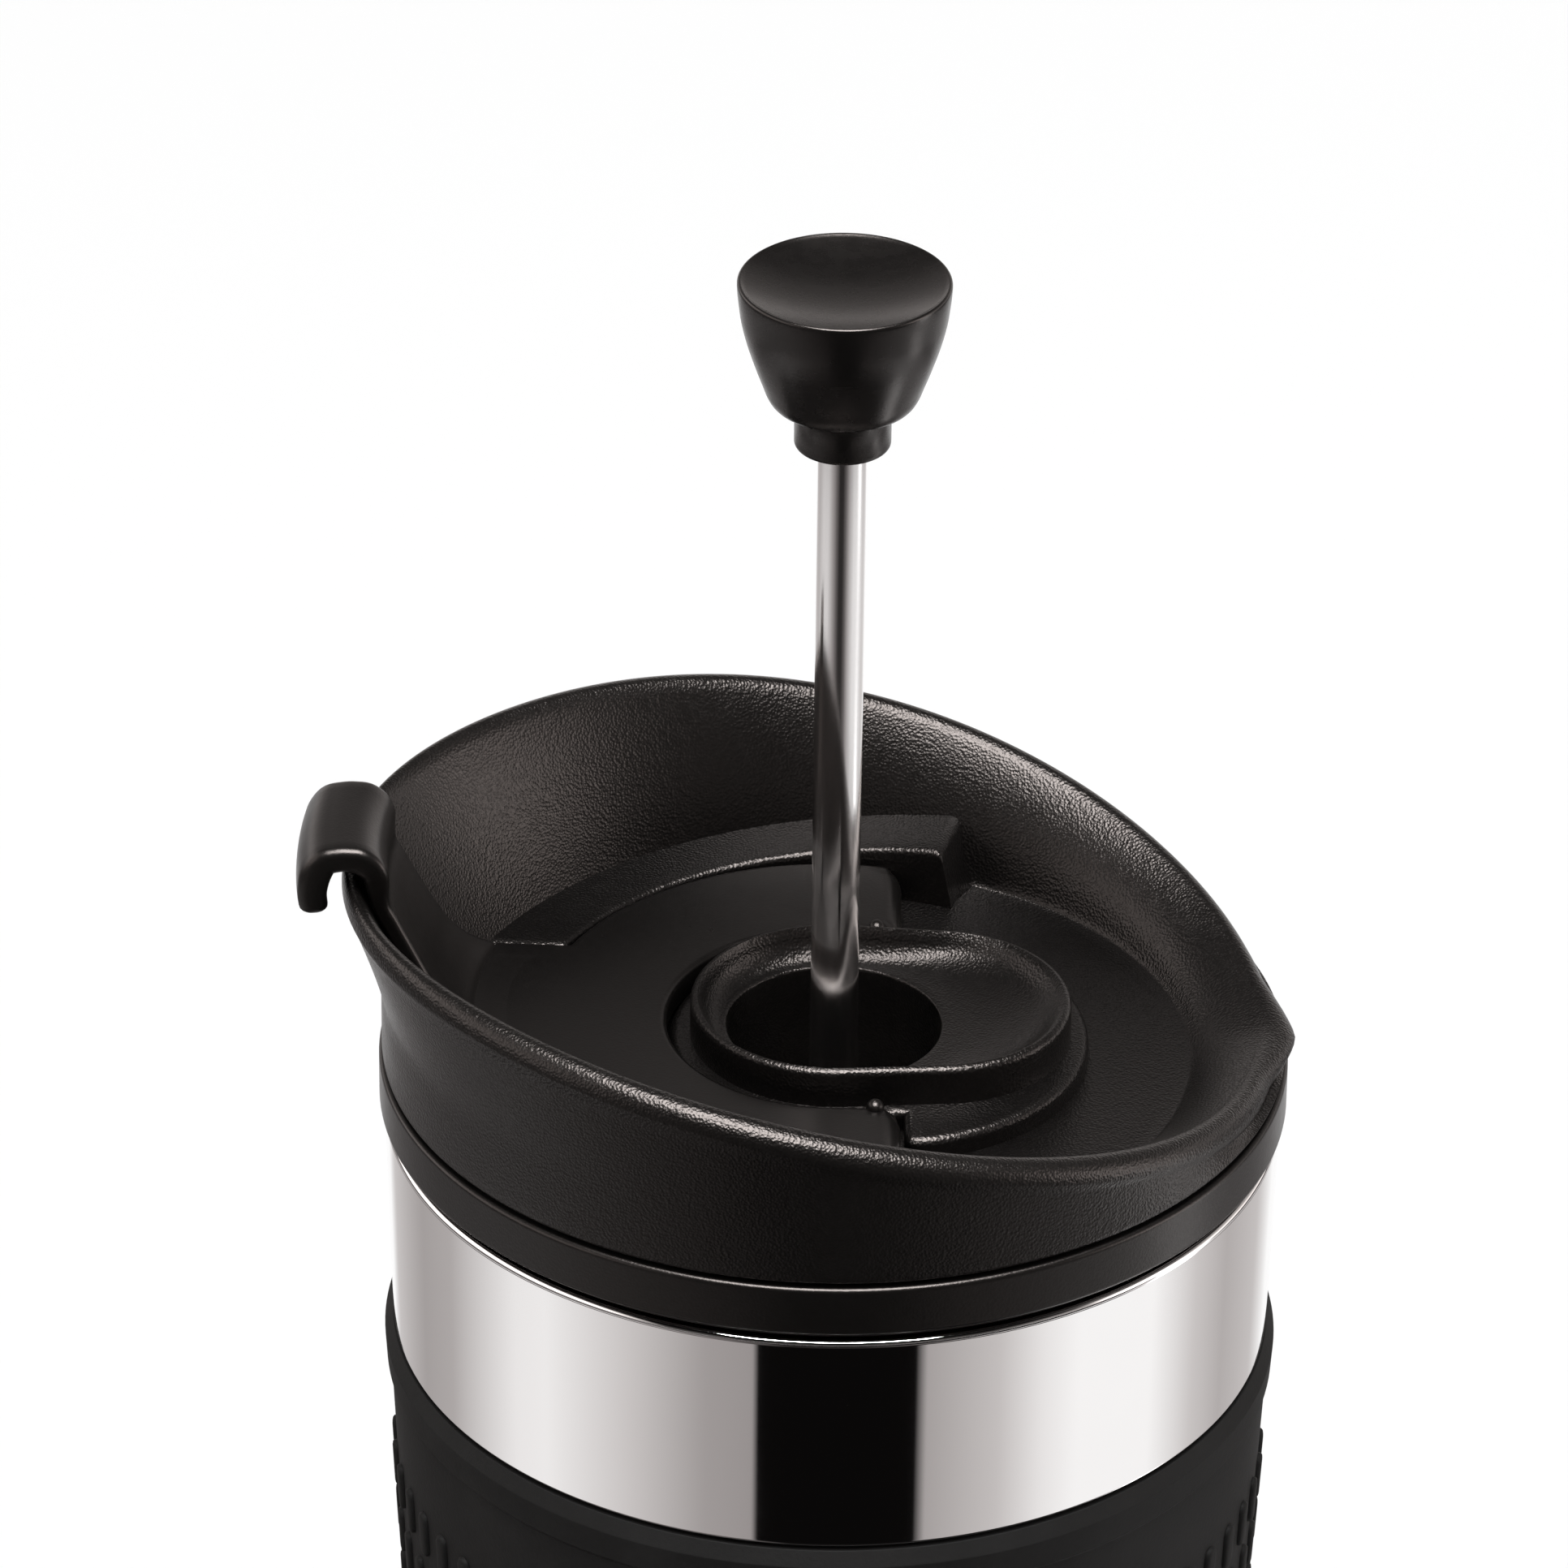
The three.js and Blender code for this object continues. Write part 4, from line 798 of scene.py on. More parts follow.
def makeLidShell(v):
    bm = bmesh.new()
    half = v["beakHalfWidth"] / v["rim"]
    azimuths = [half * share for share in (-0.75, -0.5, -0.3, -0.15, 0, 0.15, 0.3, 0.5, 0.75)]
    steps = 200
    azimuths += [half + (2 * pi - 2 * half) * k / steps for k in range(steps + 1)]
    rings = [[(r * cos(azimuth), r * sin(azimuth), steelTop + z) for r, z in lidSection(azimuth, v)]
             for azimuth in azimuths]
    ringFaces(bm, [addRing(bm, ring) for ring in rings], looped=True)
    return bm


def bossOutline(inset, v=lid, count=160):
    turn = acos((v["boss"] - v["scoop"]) / v["scoopOffset"])
    near, far = v["scoop"] - inset, v["boss"] - inset
    side = sqrt(v["scoopOffset"] ** 2 - (v["boss"] - v["scoop"]) ** 2)
    lengths = [near * turn, side, far * (2 * pi - 2 * turn), side, near * turn]
    whole = sum(lengths)
    spots = []
    for k in range(count):
        left = whole * k / count
        part = 0
        while left > lengths[part]:
            left -= lengths[part]
            part += 1
        if part in (0, 4):
            angle = left / near if part == 0 else left / near - turn
            spots.append((v["scoopOffset"] + near * cos(angle), near * sin(angle)))
        elif part == 2:
            angle = turn + left / far
            spots.append((far * cos(angle), far * sin(angle)))
        else:
            angle = turn if part == 1 else -turn
            share = left / side if part == 1 else 1 - left / side
            a = (v["scoopOffset"] + near * cos(angle), near * sin(angle))
            b = (far * cos(angle), far * sin(angle))
            spots.append((a[0] + (b[0] - a[0]) * share, a[1] + (b[1] - a[1]) * share))
    return spots


def makeBoss(v):
    height, edge, foot, mouth = v["bossHeight"], v["bossEdge"], v["bossFoot"], v["wellEdgeHeight"]
    well, wall, floor, eye = v["well"], v["wellWall"], -v["wellDepth"], v["wiperHole"]
    dish, corner, bend = height - mouth, v["wellCorner"], v["wellRound"]
    aims = [atan2(y, x - v["scoopOffset"] * 0.35) for x, y in bossOutline(0)]
    hole = [(well * cos(aim), well * sin(aim)) for aim in aims]

    def level(spots, z): return [(x, y, steelTop + z) for x, y in spots]
    def wellRing(radius, z): return level([(x * radius / well, y * radius / well) for x, y in hole], z)
    rings = [level(bossOutline(-foot), v["deck"] - 0.02)]
    for sine, cosine in quarter(5, 1):  # fillet at the foot
        rings.append(level(bossOutline(foot * sine - foot), v["deck"] + foot * (1 - cosine)))
    for sine, cosine in quarter(6):  # rounded outer edge
        rings.append(level(bossOutline(edge * (1 - cosine)), height - edge * (1 - sine)))
    lip = bossOutline(edge + v["bossLip"])
    for k in range(1, 15):  # over the lip and down the dish to the well's mouth
        share = k / 14
        fall = v["lipShare"] * min(1, share * 5) ** 1.5 + (1 - v["lipShare"]) * (1 - (1 - share) ** 2.2)
        way = share ** 1.15
        spots = [(a[0] + (b[0] * 1.03 - a[0]) * way, a[1] + (b[1] * 1.03 - a[1]) * way)
                 for a, b in zip(lip, hole)]
        rings.append(level(spots, height - dish * (fall if share < 1 else 1)))
    section = [(well + bend * (1 - sine), mouth - bend * (1 - cosine)) for sine, cosine in quarter(4, 1)]
    section.append((well, floor + corner + 0.1))
    section += [(well - corner * (1 - cosine), floor + corner * (1 - sine)) for sine, cosine in quarter(5)]
    section += [(eye + 0.2, floor), (eye, floor - 0.2), (eye, floor - wall)]
    section += [(well + wall - foot, floor - wall), (well + wall, floor - wall + foot)]
    section.append((well + wall, v["deck"] - v["sunk"]))
    rings += [wellRing(radius, z) for radius, z in section]
    bm = bmesh.new()
    ringFaces(bm, [addRing(bm, ring) for ring in rings], looped=True)
    return bm


def makeDrum(v):
    inner = v["flapCut"] - v["fit"]
    reach = acos((v["drumFacing"] - v["drumOffset"]) / v["drum"])
    back = acos(v["drumFacing"] / inner)
    tip = v["drum"] * sin(reach)
    clear = v["cornerRoom"] / v["drum"]  # keeps the arc off its corners, so that their fillets have room
    side = arc(v["drumOffset"], 0, v["drum"], clear - reach, reach - clear, 68)
    corners = [(v["drumFacing"], -tip, 1.0)] + side + [(v["drumFacing"], tip, 1.0)]
    corners += arc(0, 0, inner, back, 2 * pi - back, 96)
    smooth = filleted(corners, True, 3, guard=0.25)
    bm = bmesh.new()
    raisedPlate(bm, smooth, v["deck"] - v["drumSunk"], v["drumHeight"], v["drumEdge"])
    return bm


def makeLedge(v, side):
    start = radians(v["ledgeStart"])
    inner, root, end, edge = v["ledgeInner"], v["ledgeRoot"], v["ledgeEnd"], v["ledgeEdge"]
    bottom = v["deck"] - v["sunk"]

    def section(drop):
        spots = [(inner + edge * (1 - cosine), edge * (sine - 1) - drop) for sine, cosine in quarter(5)]
        spots += [(inner + (root - inner) * share, -drop) for share in (0.2, 0.4, 0.6, 0.8, 1.0)]
        return [(inner, None)] + spots + [(root, None)]
    first, last, firstDrop, lastDrop = v["ledgeRounds"]
    stations = [(first * (1 - cosine), firstDrop * (1 - sine)) for sine, cosine in quarter(6)]
    stations += [(first + (last - first) * k / 30, 0) for k in range(1, 31)]
    stations += [(last + (1 - last) * sine, lastDrop * (1 - cosine)) for sine, cosine in quarter(7, 1)]
    rings = []
    for t, drop in stations:
        ring = []
        left = 1 - t
        level = v["ledgeLow"] + (v["ledgeHigh"] - v["ledgeLow"]) * left * left
        for radius, height in section(drop):
            z = bottom if height is None else level + height
            across = (radius - inner) / (root - inner)
            depth = min(1, (level - z) / (level - bottom))
            lean = v["ledgeLean"] + (v["ledgeSlant"] - v["ledgeLean"]) * across
            begin = start + radians(1.5 * across - lean * depth * left)
            azimuth = begin + (pi - asin(end / radius) - begin) * t
            ring.append((radius * cos(azimuth), side * radius * sin(azimuth), steelTop + max(z, bottom)))
        rings.append(ring)
    bm = bmesh.new()
    closedStack(bm, rings)
    return bm


def makeLid(v):
    shell = finishPiece("lidShell", makeLidShell(v), lidPlastic, "lid", ["lid_body"])
    slot = slotOutline(-v["sipDistance"], v["sipLength"], v["sipWidth"])
    cutWith(shell, prism("slotTool", slot, 0, v["toolHeight"]))
    finishPiece("lidBoss", makeBoss(v), lidPlastic, "lid", sharp=50)
    drum = finishPiece("lidDrum", makeDrum(v), lidPlastic, "lid")
    cutWith(drum, prism("boreTool", circle(v["drumBore"], 96), 0, v["toolHeight"]))
    for side, word in twoSides:
        finishPiece("lidLedge" + word, makeLedge(v, side), lidPlastic, "lid", sharp=50)


makeLid(lid)
print("lid made")

# Flap: plate with two arms, tail, strap and hook, which goes over the rim in an arch and falls outside

flap = {
    "cut": 14.0, "radius": 24.7, "armEnd": 5.6, "armCorner": 1.75, "under": 5.4, "inner": 7.8, "outer": 8.2,
    "edge": 0.55, "lowEdge": 0.3, "nose": 1.6, "noseShare": 0.985, "noseDrop": 1.4, "hinge": (4.0, 6.2),
    "armRoom": 3.1, "tailHalf": 10.5, "tailReach": 29.2, "tailCorner": 1.2, "tabHalf": 6.0, "tabHeight": 26.6,
    "tabReach": 44.595, "gap": 0.4, "knuckle": 1.38, "knuckleEnd": 0.4, "nub": 0.75,
    "nubPlace": (3.5, 0.3, 7.85),
    "lowSteps": (0.5, 0.29, 0.16, 0.08, 0.03, 0),  # steps inwards from the outline, for the two edges
    "highSteps": (0, 0.03, 0.08, 0.16, 0.28, 0.42, 0.56, 0.75, 1.0, 1.3, 1.6),
    "tail": ((21.0, 1.95, 2.4), (23.6, 1.5, 2.5), (26.2, 1.26, 2.6)),  # radius, drop and thickness
    "strap": (  # share of the way up the inner wall, half width and thickness
        (0.26, 10.2, 2.3), (0.33, 9.6, 2.0), (0.40, 8.6, 1.75), (0.47, 7.6, 1.6), (0.54, 6.9, 1.5),
        (0.61, 6.5, 1.5), (0.69, 6.3, 1.5), (0.77, 6.15, 1.5), (0.85, 6.05, 1.5), (0.92, 6.0, 1.55)),
    "arch": ((-2.1, 2.6, 2.2), (-1.05, 1.42, 2.45), (0.1, 1.12, 2.3), (1.15, 1.2, 2.3), (2.1, 1.55, 2.4)),
    "fall": ((-1.5, 2.75, 2.55), (-1.22, 4.3, 2.45), (-1.3, 5.45, 2.4)),
    "hookEdge": 0.75, "hookTip": 0.8,
}


def makeFlapPlate(v):
    arm = acos(v["armEnd"] / v["radius"])
    tail = pi - asin(v["tailHalf"] / v["radius"])
    corner, steps = v["armCorner"], 60
    side = [(v["armEnd"], v["radius"] * sin(arm), corner)]
    side += [(x, y, 0) for x, y in arc(0, 0, v["radius"], arm + v["armRoom"] / v["radius"], tail, steps)]
    side[-1] = (*side[-1][:2], 0.8)
    end = v["tailCorner"] - v["tailReach"]
    outline = side + [(end, v["tailHalf"], v["tailCorner"]), (end, -v["tailHalf"], v["tailCorner"])]
    outline += [(x, -y, fillet) for x, y, fillet in reversed(side)]
    outline += [(v["armEnd"], -v["cut"], corner)]
    outline += [(x, y, 0) for x, y in arc(0, 0, v["cut"], 3 * pi / 2 - 0.02, pi / 2 + 0.02, 80)]
    outline += [(v["armEnd"], v["cut"], corner)]
    smooth = filleted(outline, True, 8, guard=0.3)
    facing = []
    for k, (x, y) in enumerate(smooth):  # how far each point belongs to the arms' rounded front
        run = heading(smooth[(k + 1) % len(smooth)], smooth[k - 1])
        share = min(1, max(0, (run.y - 0.15) / 0.8)) if x > v["hinge"][0] - 1 else 0
        facing.append(v["noseShare"] * share * share * (3 - 2 * share))
    hinge, nose = v["hinge"][1], v["nose"]

    def roundOff(distance, radius): return sqrt(max(0, 1 - max(0, 1 - distance / radius) ** 2))
    rings = []
    for distance in v["lowSteps"]:
        plain = v["under"] + v["lowEdge"] * (1 - roundOff(distance, v["lowEdge"]))
        level = max(v["under"], hinge - v["noseDrop"] * roundOff(distance, nose))
        rings.append([(x, y, steelTop + plain + (level - plain) * share)
                      for (x, y), share in zip(insetOutline(smooth, distance), facing)])
    for distance in v["highSteps"]:
        reach = [min(distance, 0.56) + max(0, distance - 0.56) * max(0.12, share) for share in facing]
        ring = []
        for (x, y), share in zip(insetOutline(smooth, reach), facing):
            top = v["inner"] + (v["outer"] - v["inner"]) * (hypot(x, y) - v["cut"]) / (v["radius"] - v["cut"])
            plain = top - v["edge"] * (1 - roundOff(distance, v["edge"]))
            level = hinge + (top - hinge) * roundOff(distance, nose)
            ring.append((x, y, steelTop + plain + (level - plain) * share))
        rings.append(ring)
    bm = bmesh.new()
    closedStack(bm, rings)
    x, z = v["hinge"]
    near, far, size, bend = v["cut"], v["radius"] - 0.15, v["knuckle"], v["knuckleEnd"]
    knuckle = filleted([(0, near), (size, near, bend), (size, far, bend), (0, far)], False)
    for way in (-1, 1):  # rounded knuckle under each arm
        lathe(bm, knuckle, 32, False,
              lambda across, up, along, way=way: (x + across, way * along, steelTop + z + up))
    return bm


def hookPath(v):  # centre line in the plane through the axis: radius, height, thickness, half width
    crest = rimAt(pi)[0]
    curve = bowlPoints(pi)
    path = [(radius, v["outer"] - drop, wall, v["tailHalf"] - 0.05) for radius, drop, wall in v["tail"]]
    for share, half, wall in v["strap"]:
        spot = bezier(curve, share)
        run = (bezier(curve, share + 0.01) - spot).normalized()
        middle = spot + Vector((-run.y, run.x)) * (v["gap"] + wall / 2)
        path.append((middle.x, middle.y, wall, half))
    high, half = v["tabHeight"], v["tabHalf"]
    for start, stations in ((crest, v["arch"]), (v["tabReach"], v["fall"])):
        path += [(start + across, high - drop, wall, half) for across, drop, wall in stations]
    return path


def makeHook(v):
    bm = bmesh.new()
    path = smoothPath(hookPath(v))
    rings = []

    def ringAt(k, shrink):
        radius, height, wall, half = path[k]
        run = heading(path[min(k + 1, len(path) - 1)], path[max(k - 1, 0)])
        away = Vector((-run.y, run.x))
        t, w = wall / 2 - shrink, half - shrink
        edge = min(v["hookEdge"], t * 0.8)
        ring = []
        for cx, cy in ((w - edge, t - edge), (edge - w, t - edge), (edge - w, edge - t), (w - edge, edge - t)):
            first = len(ring) / 6 * pi / 2
            ring += arc(cx, cy, edge, first, first + pi / 2, 5)
        between = [(w - edge) * (1 - 2 * j / 12) for j in range(1, 12)]
        full = ring[:6] + [(y, t) for y in between] + ring[6:18] + [(-y, -t) for y in between] + ring[18:]
        return radius, height, away, full
    for k in range(len(path)):
        radius, height, away, spots = ringAt(k, 0)
        rings.append([(radius + u * away.x, y, height + u * away.y) for y, u in spots])
    run = heading(path[-1], path[-2])
    for sine, cosine in quarter(5, 1):  # rounded tip
        radius, height, away, spots = ringAt(len(path) - 1, v["hookTip"] * (1 - cosine))
        step = run * v["hookTip"] * sine
        rings.append([(radius + step.x + u * away.x, y, height + step.y + u * away.y) for y, u in spots])
    closedStack(bm, [[(-sqrt(max(r * r - y * y, 0)), y, steelTop + z) for r, y, z in ring] for ring in rings])
    return bm


def makeFlap(v):
    finishPiece("flapPlate", makeFlapPlate(v), flapPlastic, "flap", ["drinking_flap"])
    finishPiece("flapHook", makeHook(v), flapPlastic, "flap", sharp=60)
    x, away, z = v["nubPlace"]
    for side, word in twoSides:  # small stop on each arm
        nub = bmesh.new()
        bmesh.ops.create_uvsphere(nub, u_segments=24, v_segments=16, radius=v["nub"] * mm)
        place = Vector((x, side * (v["cut"] + away), steelTop + z)) * mm
        bmesh.ops.translate(nub, vec=place, verts=nub.verts)
        finishPiece("flapNub" + word, nub, flapPlastic, "flap")


makeFlap(flap)
print("flap made")

# Plunger

knob = {
    "top": 76.7, "crest": 8.42, "dish": 1.45, "bottom": 61.9, "neck": 3.93, "bowlFoot": 65.42,
    "seat": 2.3, "seatDepth": 9.5, "crestTurn": 110,
    "dishSteps": (0, 0.12, 0.25, 0.38, 0.5, 0.62, 0.73, 0.82, 0.89, 0.945, 0.98),
    "side": [(8.64, 76.42), (8.6, 75.68), (8.48, 74.57), (8.29, 73.23), (7.89, 71.56), (7.44, 70.12),
             (6.98, 68.78), (6.57, 67.67), (6.24, 66.78), (5.78, 66.08), (4.9, 65.64), (4.05, 65.5)],
}


def makeKnob(v):
    top, dish = v["top"] - 0.03, v["dish"]
    profile = [(v["crest"] * share, top - dish * (1 - share ** 2.1)) for share in v["dishSteps"]]
    width, drop = v["side"][0][0] - v["crest"], v["top"] - v["side"][0][1]
    for k in range(9):  # over the crest
        turn = radians(v["crestTurn"] - k * v["crestTurn"] / 8)
        profile.append((v["crest"] + width * cos(turn), v["side"][0][1] + drop * sin(turn)))
    profile += smoothPath(v["side"], 3)[1:]
    socket = v["bottom"] + v["seatDepth"]
    profile += filleted([(v["neck"], v["bowlFoot"] - 0.1), (v["neck"], v["bottom"], 0.4),
                         (v["seat"], v["bottom"], 0.2), (v["seat"], socket)], False, 4)
    profile += [(0, socket)]
    bm = bmesh.new()
    lathe(bm, lifted(profile), 128, closed=False)
    finishPiece("plungerKnob", bm, knobPlastic, "plunger", ["plunger_knob"], sharp=50)


rod = {"radius": 2.0, "bottom": 77.5, "top": 71.1, "nib": 5.4}


def makeRod(v):  # with a fine groove over the nut's thread
    radius, groove = v["radius"], v["nib"] - v["bottom"]
    turnedPiece("plungerRod", lifted([
        (0, -v["bottom"]), (radius, -v["bottom"], 0.35), (radius, groove), (radius - 0.15, groove + 0.15),
        (radius, groove + 0.3), (radius, v["top"], 0.3), (0, v["top"]),
    ]), rodSteel, "plunger", ["plunger_rod"], closed=False, steps=64)


makeKnob(knob)
makeRod(rod)
print("plunger made")

# Fittings: strainer, wiper, pins, stopper, and the filter's stack from the nut up

fittings = {
    "bore": 2.3, "base": (26.7, 3.4, 1.2, 2.4, 0.8),
    "strainerBottom": -11.4, "strainer": 29.9, "strainerThickness": 1.4, "strainerHub": 4.5, "slots": 14,
    "slotReach": (11.0, 26.0), "slotWidth": 1.8, "wiper": (-8.6, -4.9, 4.6, 3.0), "wiperLip": 0.8,
    "pin": 0.65, "pinReach": (16.8, 27.3), "plug": (10.8, 4.8), "flange": (13.8, 7.8), "stud": 1.6,
    "plugLevels": (3.3, 4.95), "flangeLevels": (4.8, 5.1), "studLevels": (5.0, 6.0),
    "nutBottom": -77.2, "nutHeight": 4.0, "nut": 4.2, "nutFlat": 3.75, "crossBottom": -72.9,
    "meshBottom": -71.8, "discBottom": -71.1, "hubBottom": -70.0, "disc": 24.6, "thickness": 0.8,
    "hub": 4.2, "hubFlange": 6.0, "hubStep": 1, "hubHeight": 5, "hole": 1.9,
    "holeRings": [(19.0, 13), (12.0, 8)], "windows": 6, "windowReach": (8.0, 20.5), "windowBar": 3.0,
    "cell": 2.2, "wire": 0.11, "wave": 0.08,
    "meshRadius": 25.45, "meshRim": 23.3, "meshEye": (2.35, 5.2), "meshEdge": 0.4,
    "seal": (24.9, 25.8, 26.6, 27.0, 3.2),  # radii from the bore to the lips, and how tall a lip is
    "nip": (-0.3, 0.7),  # the levels in the seal that hold the mesh's edge
}


def makePlates(v):
    bore, disc, thick = v["bore"], v["disc"], v["thickness"]
    low = v["strainerBottom"]
    high = low + v["strainerThickness"]
    strainer = turnedPiece("lidStrainer", lifted([
        (bore, low, 0.1), (v["strainer"], low, 0.3), (v["strainer"], high, 0.3), (v["strainerHub"], high, 0.4),
        (v["strainerHub"], high + 1, 0.3), (bore, high + 1, 0.15),
    ]), strainerPlastic, "lid", ["lid_strainer"], steps=120)
    near, far = v["slotReach"]
    half = v["slotWidth"] / 2
    slot = arc(far - half, 0, half, -pi / 2, pi / 2, 8) + arc(near + half, 0, half, pi / 2, 3 * pi / 2, 8)
    tool = prism("strainerSlot", slot, low - 1, high + 0.5)
    cutWith(strainer, turnedCopies("strainerSlots", tool, v["slots"], 0.5))
    low = v["discBottom"]
    plate = turnedPiece("filterDisc", washer(bore, disc, low, thick, 0.2, 0.25), satinSteel, "plunger",
                        ["filter_disc"], steps=120)
    for ring, (radius, count) in enumerate(v["holeRings"]):
        tool = prism(f"hole{ring}", circle(v["hole"], 28, radius), low - 1, low + thick + 1)
        cutWith(plate, turnedCopies(f"holes{ring}", tool, count))
    low = v["crossBottom"]
    cross = turnedPiece("filterCrossPlate", washer(bore, disc, low, thick, 0.25, 0.2), satinSteel, "plunger",
                        ["filter_cross_plate"], steps=120)
    near, far = v["windowReach"]
    starts = [asin(v["windowBar"] / 2 / radius) for radius in (near, far)]
    span = 2 * pi / v["windows"]
    edge = [(x, y, 0) for x, y in arc(0, 0, far, starts[1], span - starts[1], 24)]
    edge += [(x, y, 0) for x, y in arc(0, 0, near, span - starts[0], starts[0], 12)]
    for corner in (0, 24, 25, len(edge) - 1):
        edge[corner] = (*edge[corner][:2], 0.9)
    tool = prism("window", filleted(edge), low - 1, low + thick + 1)
    cutWith(cross, turnedCopies("windows", tool, v["windows"]))


def makeWeaveCell(v):  # two wires each way that cross over and under
    bm = bmesh.new()
    size, radius, steps = v["cell"], v["wire"], 6
    for row in (-1, 1):
        for along in (0, 1):
            sign = row if along == 0 else -row
            rings = []
            for k in range(steps + 1):
                place = size * (k / steps - 0.5)
                height = sign * v["wave"] * sin(2 * pi * place / size)
                loop = arc(row * size / 4, height, radius, pi / 4, 7 * pi / 4, 3)
                rings.append(addRing(bm, [(y, place, z) if along else (place, y, z) for y, z in loop]))
            ringFaces(bm, rings)
    return scratchObject("weaveCell", bm)


def makeWeave(v):
    cell = makeWeaveCell(v)
    sheet = Repeat("filterWeave")
    across = int(2 * v["meshRadius"] / v["cell"]) + 1
    count = sheet.size("Across", across)
    middle = (count - 1) / 2
    x = ((sheet.index() % count) - middle) * (v["cell"] * mm)
    y = ((sheet.index() / count).floor() - middle) * (v["cell"] * mm)
    reach = (x * x + y * y).root()
    height = (steelTop + v["meshBottom"] + 0.2) * mm
    points = sheet.points(count * count, sheet.vector(x, y, height))
    kept = sheet.node("GeometryNodeDeleteGeometry", {}, {
        "Geometry": points, "Selection": reach.more((v["meshRadius"] - 0.72 * v["cell"]) * mm)})
    wires = sheet.onPoints(kept, sheet.shape(sheet.size("Cell", cell)))
    mesh = sheet.result(wires, wireSteel)
    bpy.data.objects.remove(cell)
    bm = bmesh.new()
    bm.from_mesh(mesh)
    bmesh.ops.remove_doubles(bm, verts=bm.verts, dist=0.000002)
    ends = [edge for edge in bm.edges if edge.is_boundary]
    bmesh.ops.holes_fill(bm, edges=ends, sides=8)
    bmesh.ops.recalc_face_normals(bm, faces=bm.faces)
    bm.to_mesh(mesh)
    bm.free()
    ridingPiece("filterWeave", mesh, "plunger")
    for name, near, far, nodes in (("filterMeshRim", v["meshRim"], v["meshRadius"], ["filter_mesh"]),
                                   ("filterMeshEye", *v["meshEye"], ())):
        section = washer(near, far, v["meshBottom"], v["meshEdge"], 0.15, 0.15)
        turnedPiece(name, section, wireSteel, "plunger", nodes)


def makeSmallPieces(v):
    bore = v["bore"]
    radius, bottom, rise, lip, thick = v["base"]
    line = [(0, rise), (radius - lip - rise, rise, 0.5), (radius - lip, 0, 0.5), (radius, 0, 0.15)]
    corners = [(r, bottom + z, *fillet) for r, z, *fillet in line]
    corners += [(r, bottom + z + thick, *fillet) for r, z, *fillet in reversed(line)]
    turnedPiece("basePlate", corners, satinSteel, "vessel", ["base_plate"], closed=False)
    low, high, flange, neck = v["wiper"]
    waistLow, waistHigh = low + v["wiperLip"], high - v["wiperLip"]
    turnedPiece("rodWiper", lifted([
        (bore, low, 0.25), (flange, low, 0.2), (flange, waistLow, 0.1), (neck, waistLow, 0.1),
        (neck, waistHigh, 0.1), (flange, waistHigh, 0.1), (flange - 0.4, high, 0.2), (bore, high, 0.25),
    ]), sealSilicone, "lid", ["rod_wiper"], steps=64)
    x, z = flap["hinge"]
    near, far = v["pinReach"]
    pin = [(0, near), (v["pin"], near, 0.15), (v["pin"], far, 0.15), (0, far)]
    for side, word in twoSides:
        turnedPiece("hingePin" + word, pin, polishedSteel, "lid",
                    ["hinge_pin_" + word.lower()], closed=False, steps=24,
                    place=lambda across, up, along, side=side: (x + across, side * along, steelTop + z + up))
    bm = bmesh.new()
    hole = -lid["sipDistance"]
    for outline, part, edge, lowEdge in ((slotOutline(hole, *v["plug"]), "plug", 0.05, 0.5),
                                         (slotOutline(hole, *v["flange"]), "flange", 0.1, 0.12),
                                         (circle(v["stud"], 24, hole), "stud", 0.3, 0)):
        low, high = v[part + "Levels"]
        raisedPlate(bm, outline, low, high, edge, lowEdge)
    finishPiece("flapStopper", bm, sealSilicone, "flap", ["flap_stopper"])


def makeFilterStack(v):
    bore, low = v["bore"], v["hubBottom"]
    step, high = low + v["hubStep"], low + v["hubHeight"]
    turnedPiece("filterHub", lifted([
        (bore, low, 0.1), (v["hubFlange"], low, 0.25), (v["hubFlange"], step, 0.35), (v["hub"], step, 0.6),
        (v["hub"], high, 0.5), (bore, high, 0.2),
    ]), polishedSteel, "plunger", ["filter_hub"], steps=72)
    low, high = [v["meshBottom"] + level for level in v["nip"]]
    near, slit, waist, lip, tall = v["seal"]
    turnedPiece("filterSeal", lifted([
        (near, low - tall, 0.3), (lip, low - tall, 0.35), (waist, low, 0.3), (waist, high, 0.3),
        (lip, high + tall, 0.35), (near, high + tall, 0.3), (near, high, 0.1), (slit, high, 0.1),
        (slit, low, 0.1), (near, low, 0.1),
    ]), sealSilicone, "plunger", ["filter_seal"], steps=128)
    low, high = v["nutBottom"], v["nutBottom"] + v["nutHeight"]

    def sixSided(across, along, height):
        turn = (atan2(along, across) + pi / 6) % (pi / 3) - pi / 6
        share = min(1, v["nutFlat"] / cos(turn) / max(hypot(across, along), 0.01))
        return across * share, along * share, height
    turnedPiece("filterNut", lifted([
        (bore, low, 0.2), (v["nut"], low, 0.6), (v["nut"], high, 0.6), (bore, high, 0.2),
    ]), polishedSteel, "plunger", ["filter_nut"], steps=72, place=sixSided)


makePlates(fittings)
makeWeave(fittings)
makeSmallPieces(fittings)
makeFilterStack(fittings)
print("fittings made")

# Studio: pale floor, soft boxes, and a card on the floor that only reflections see

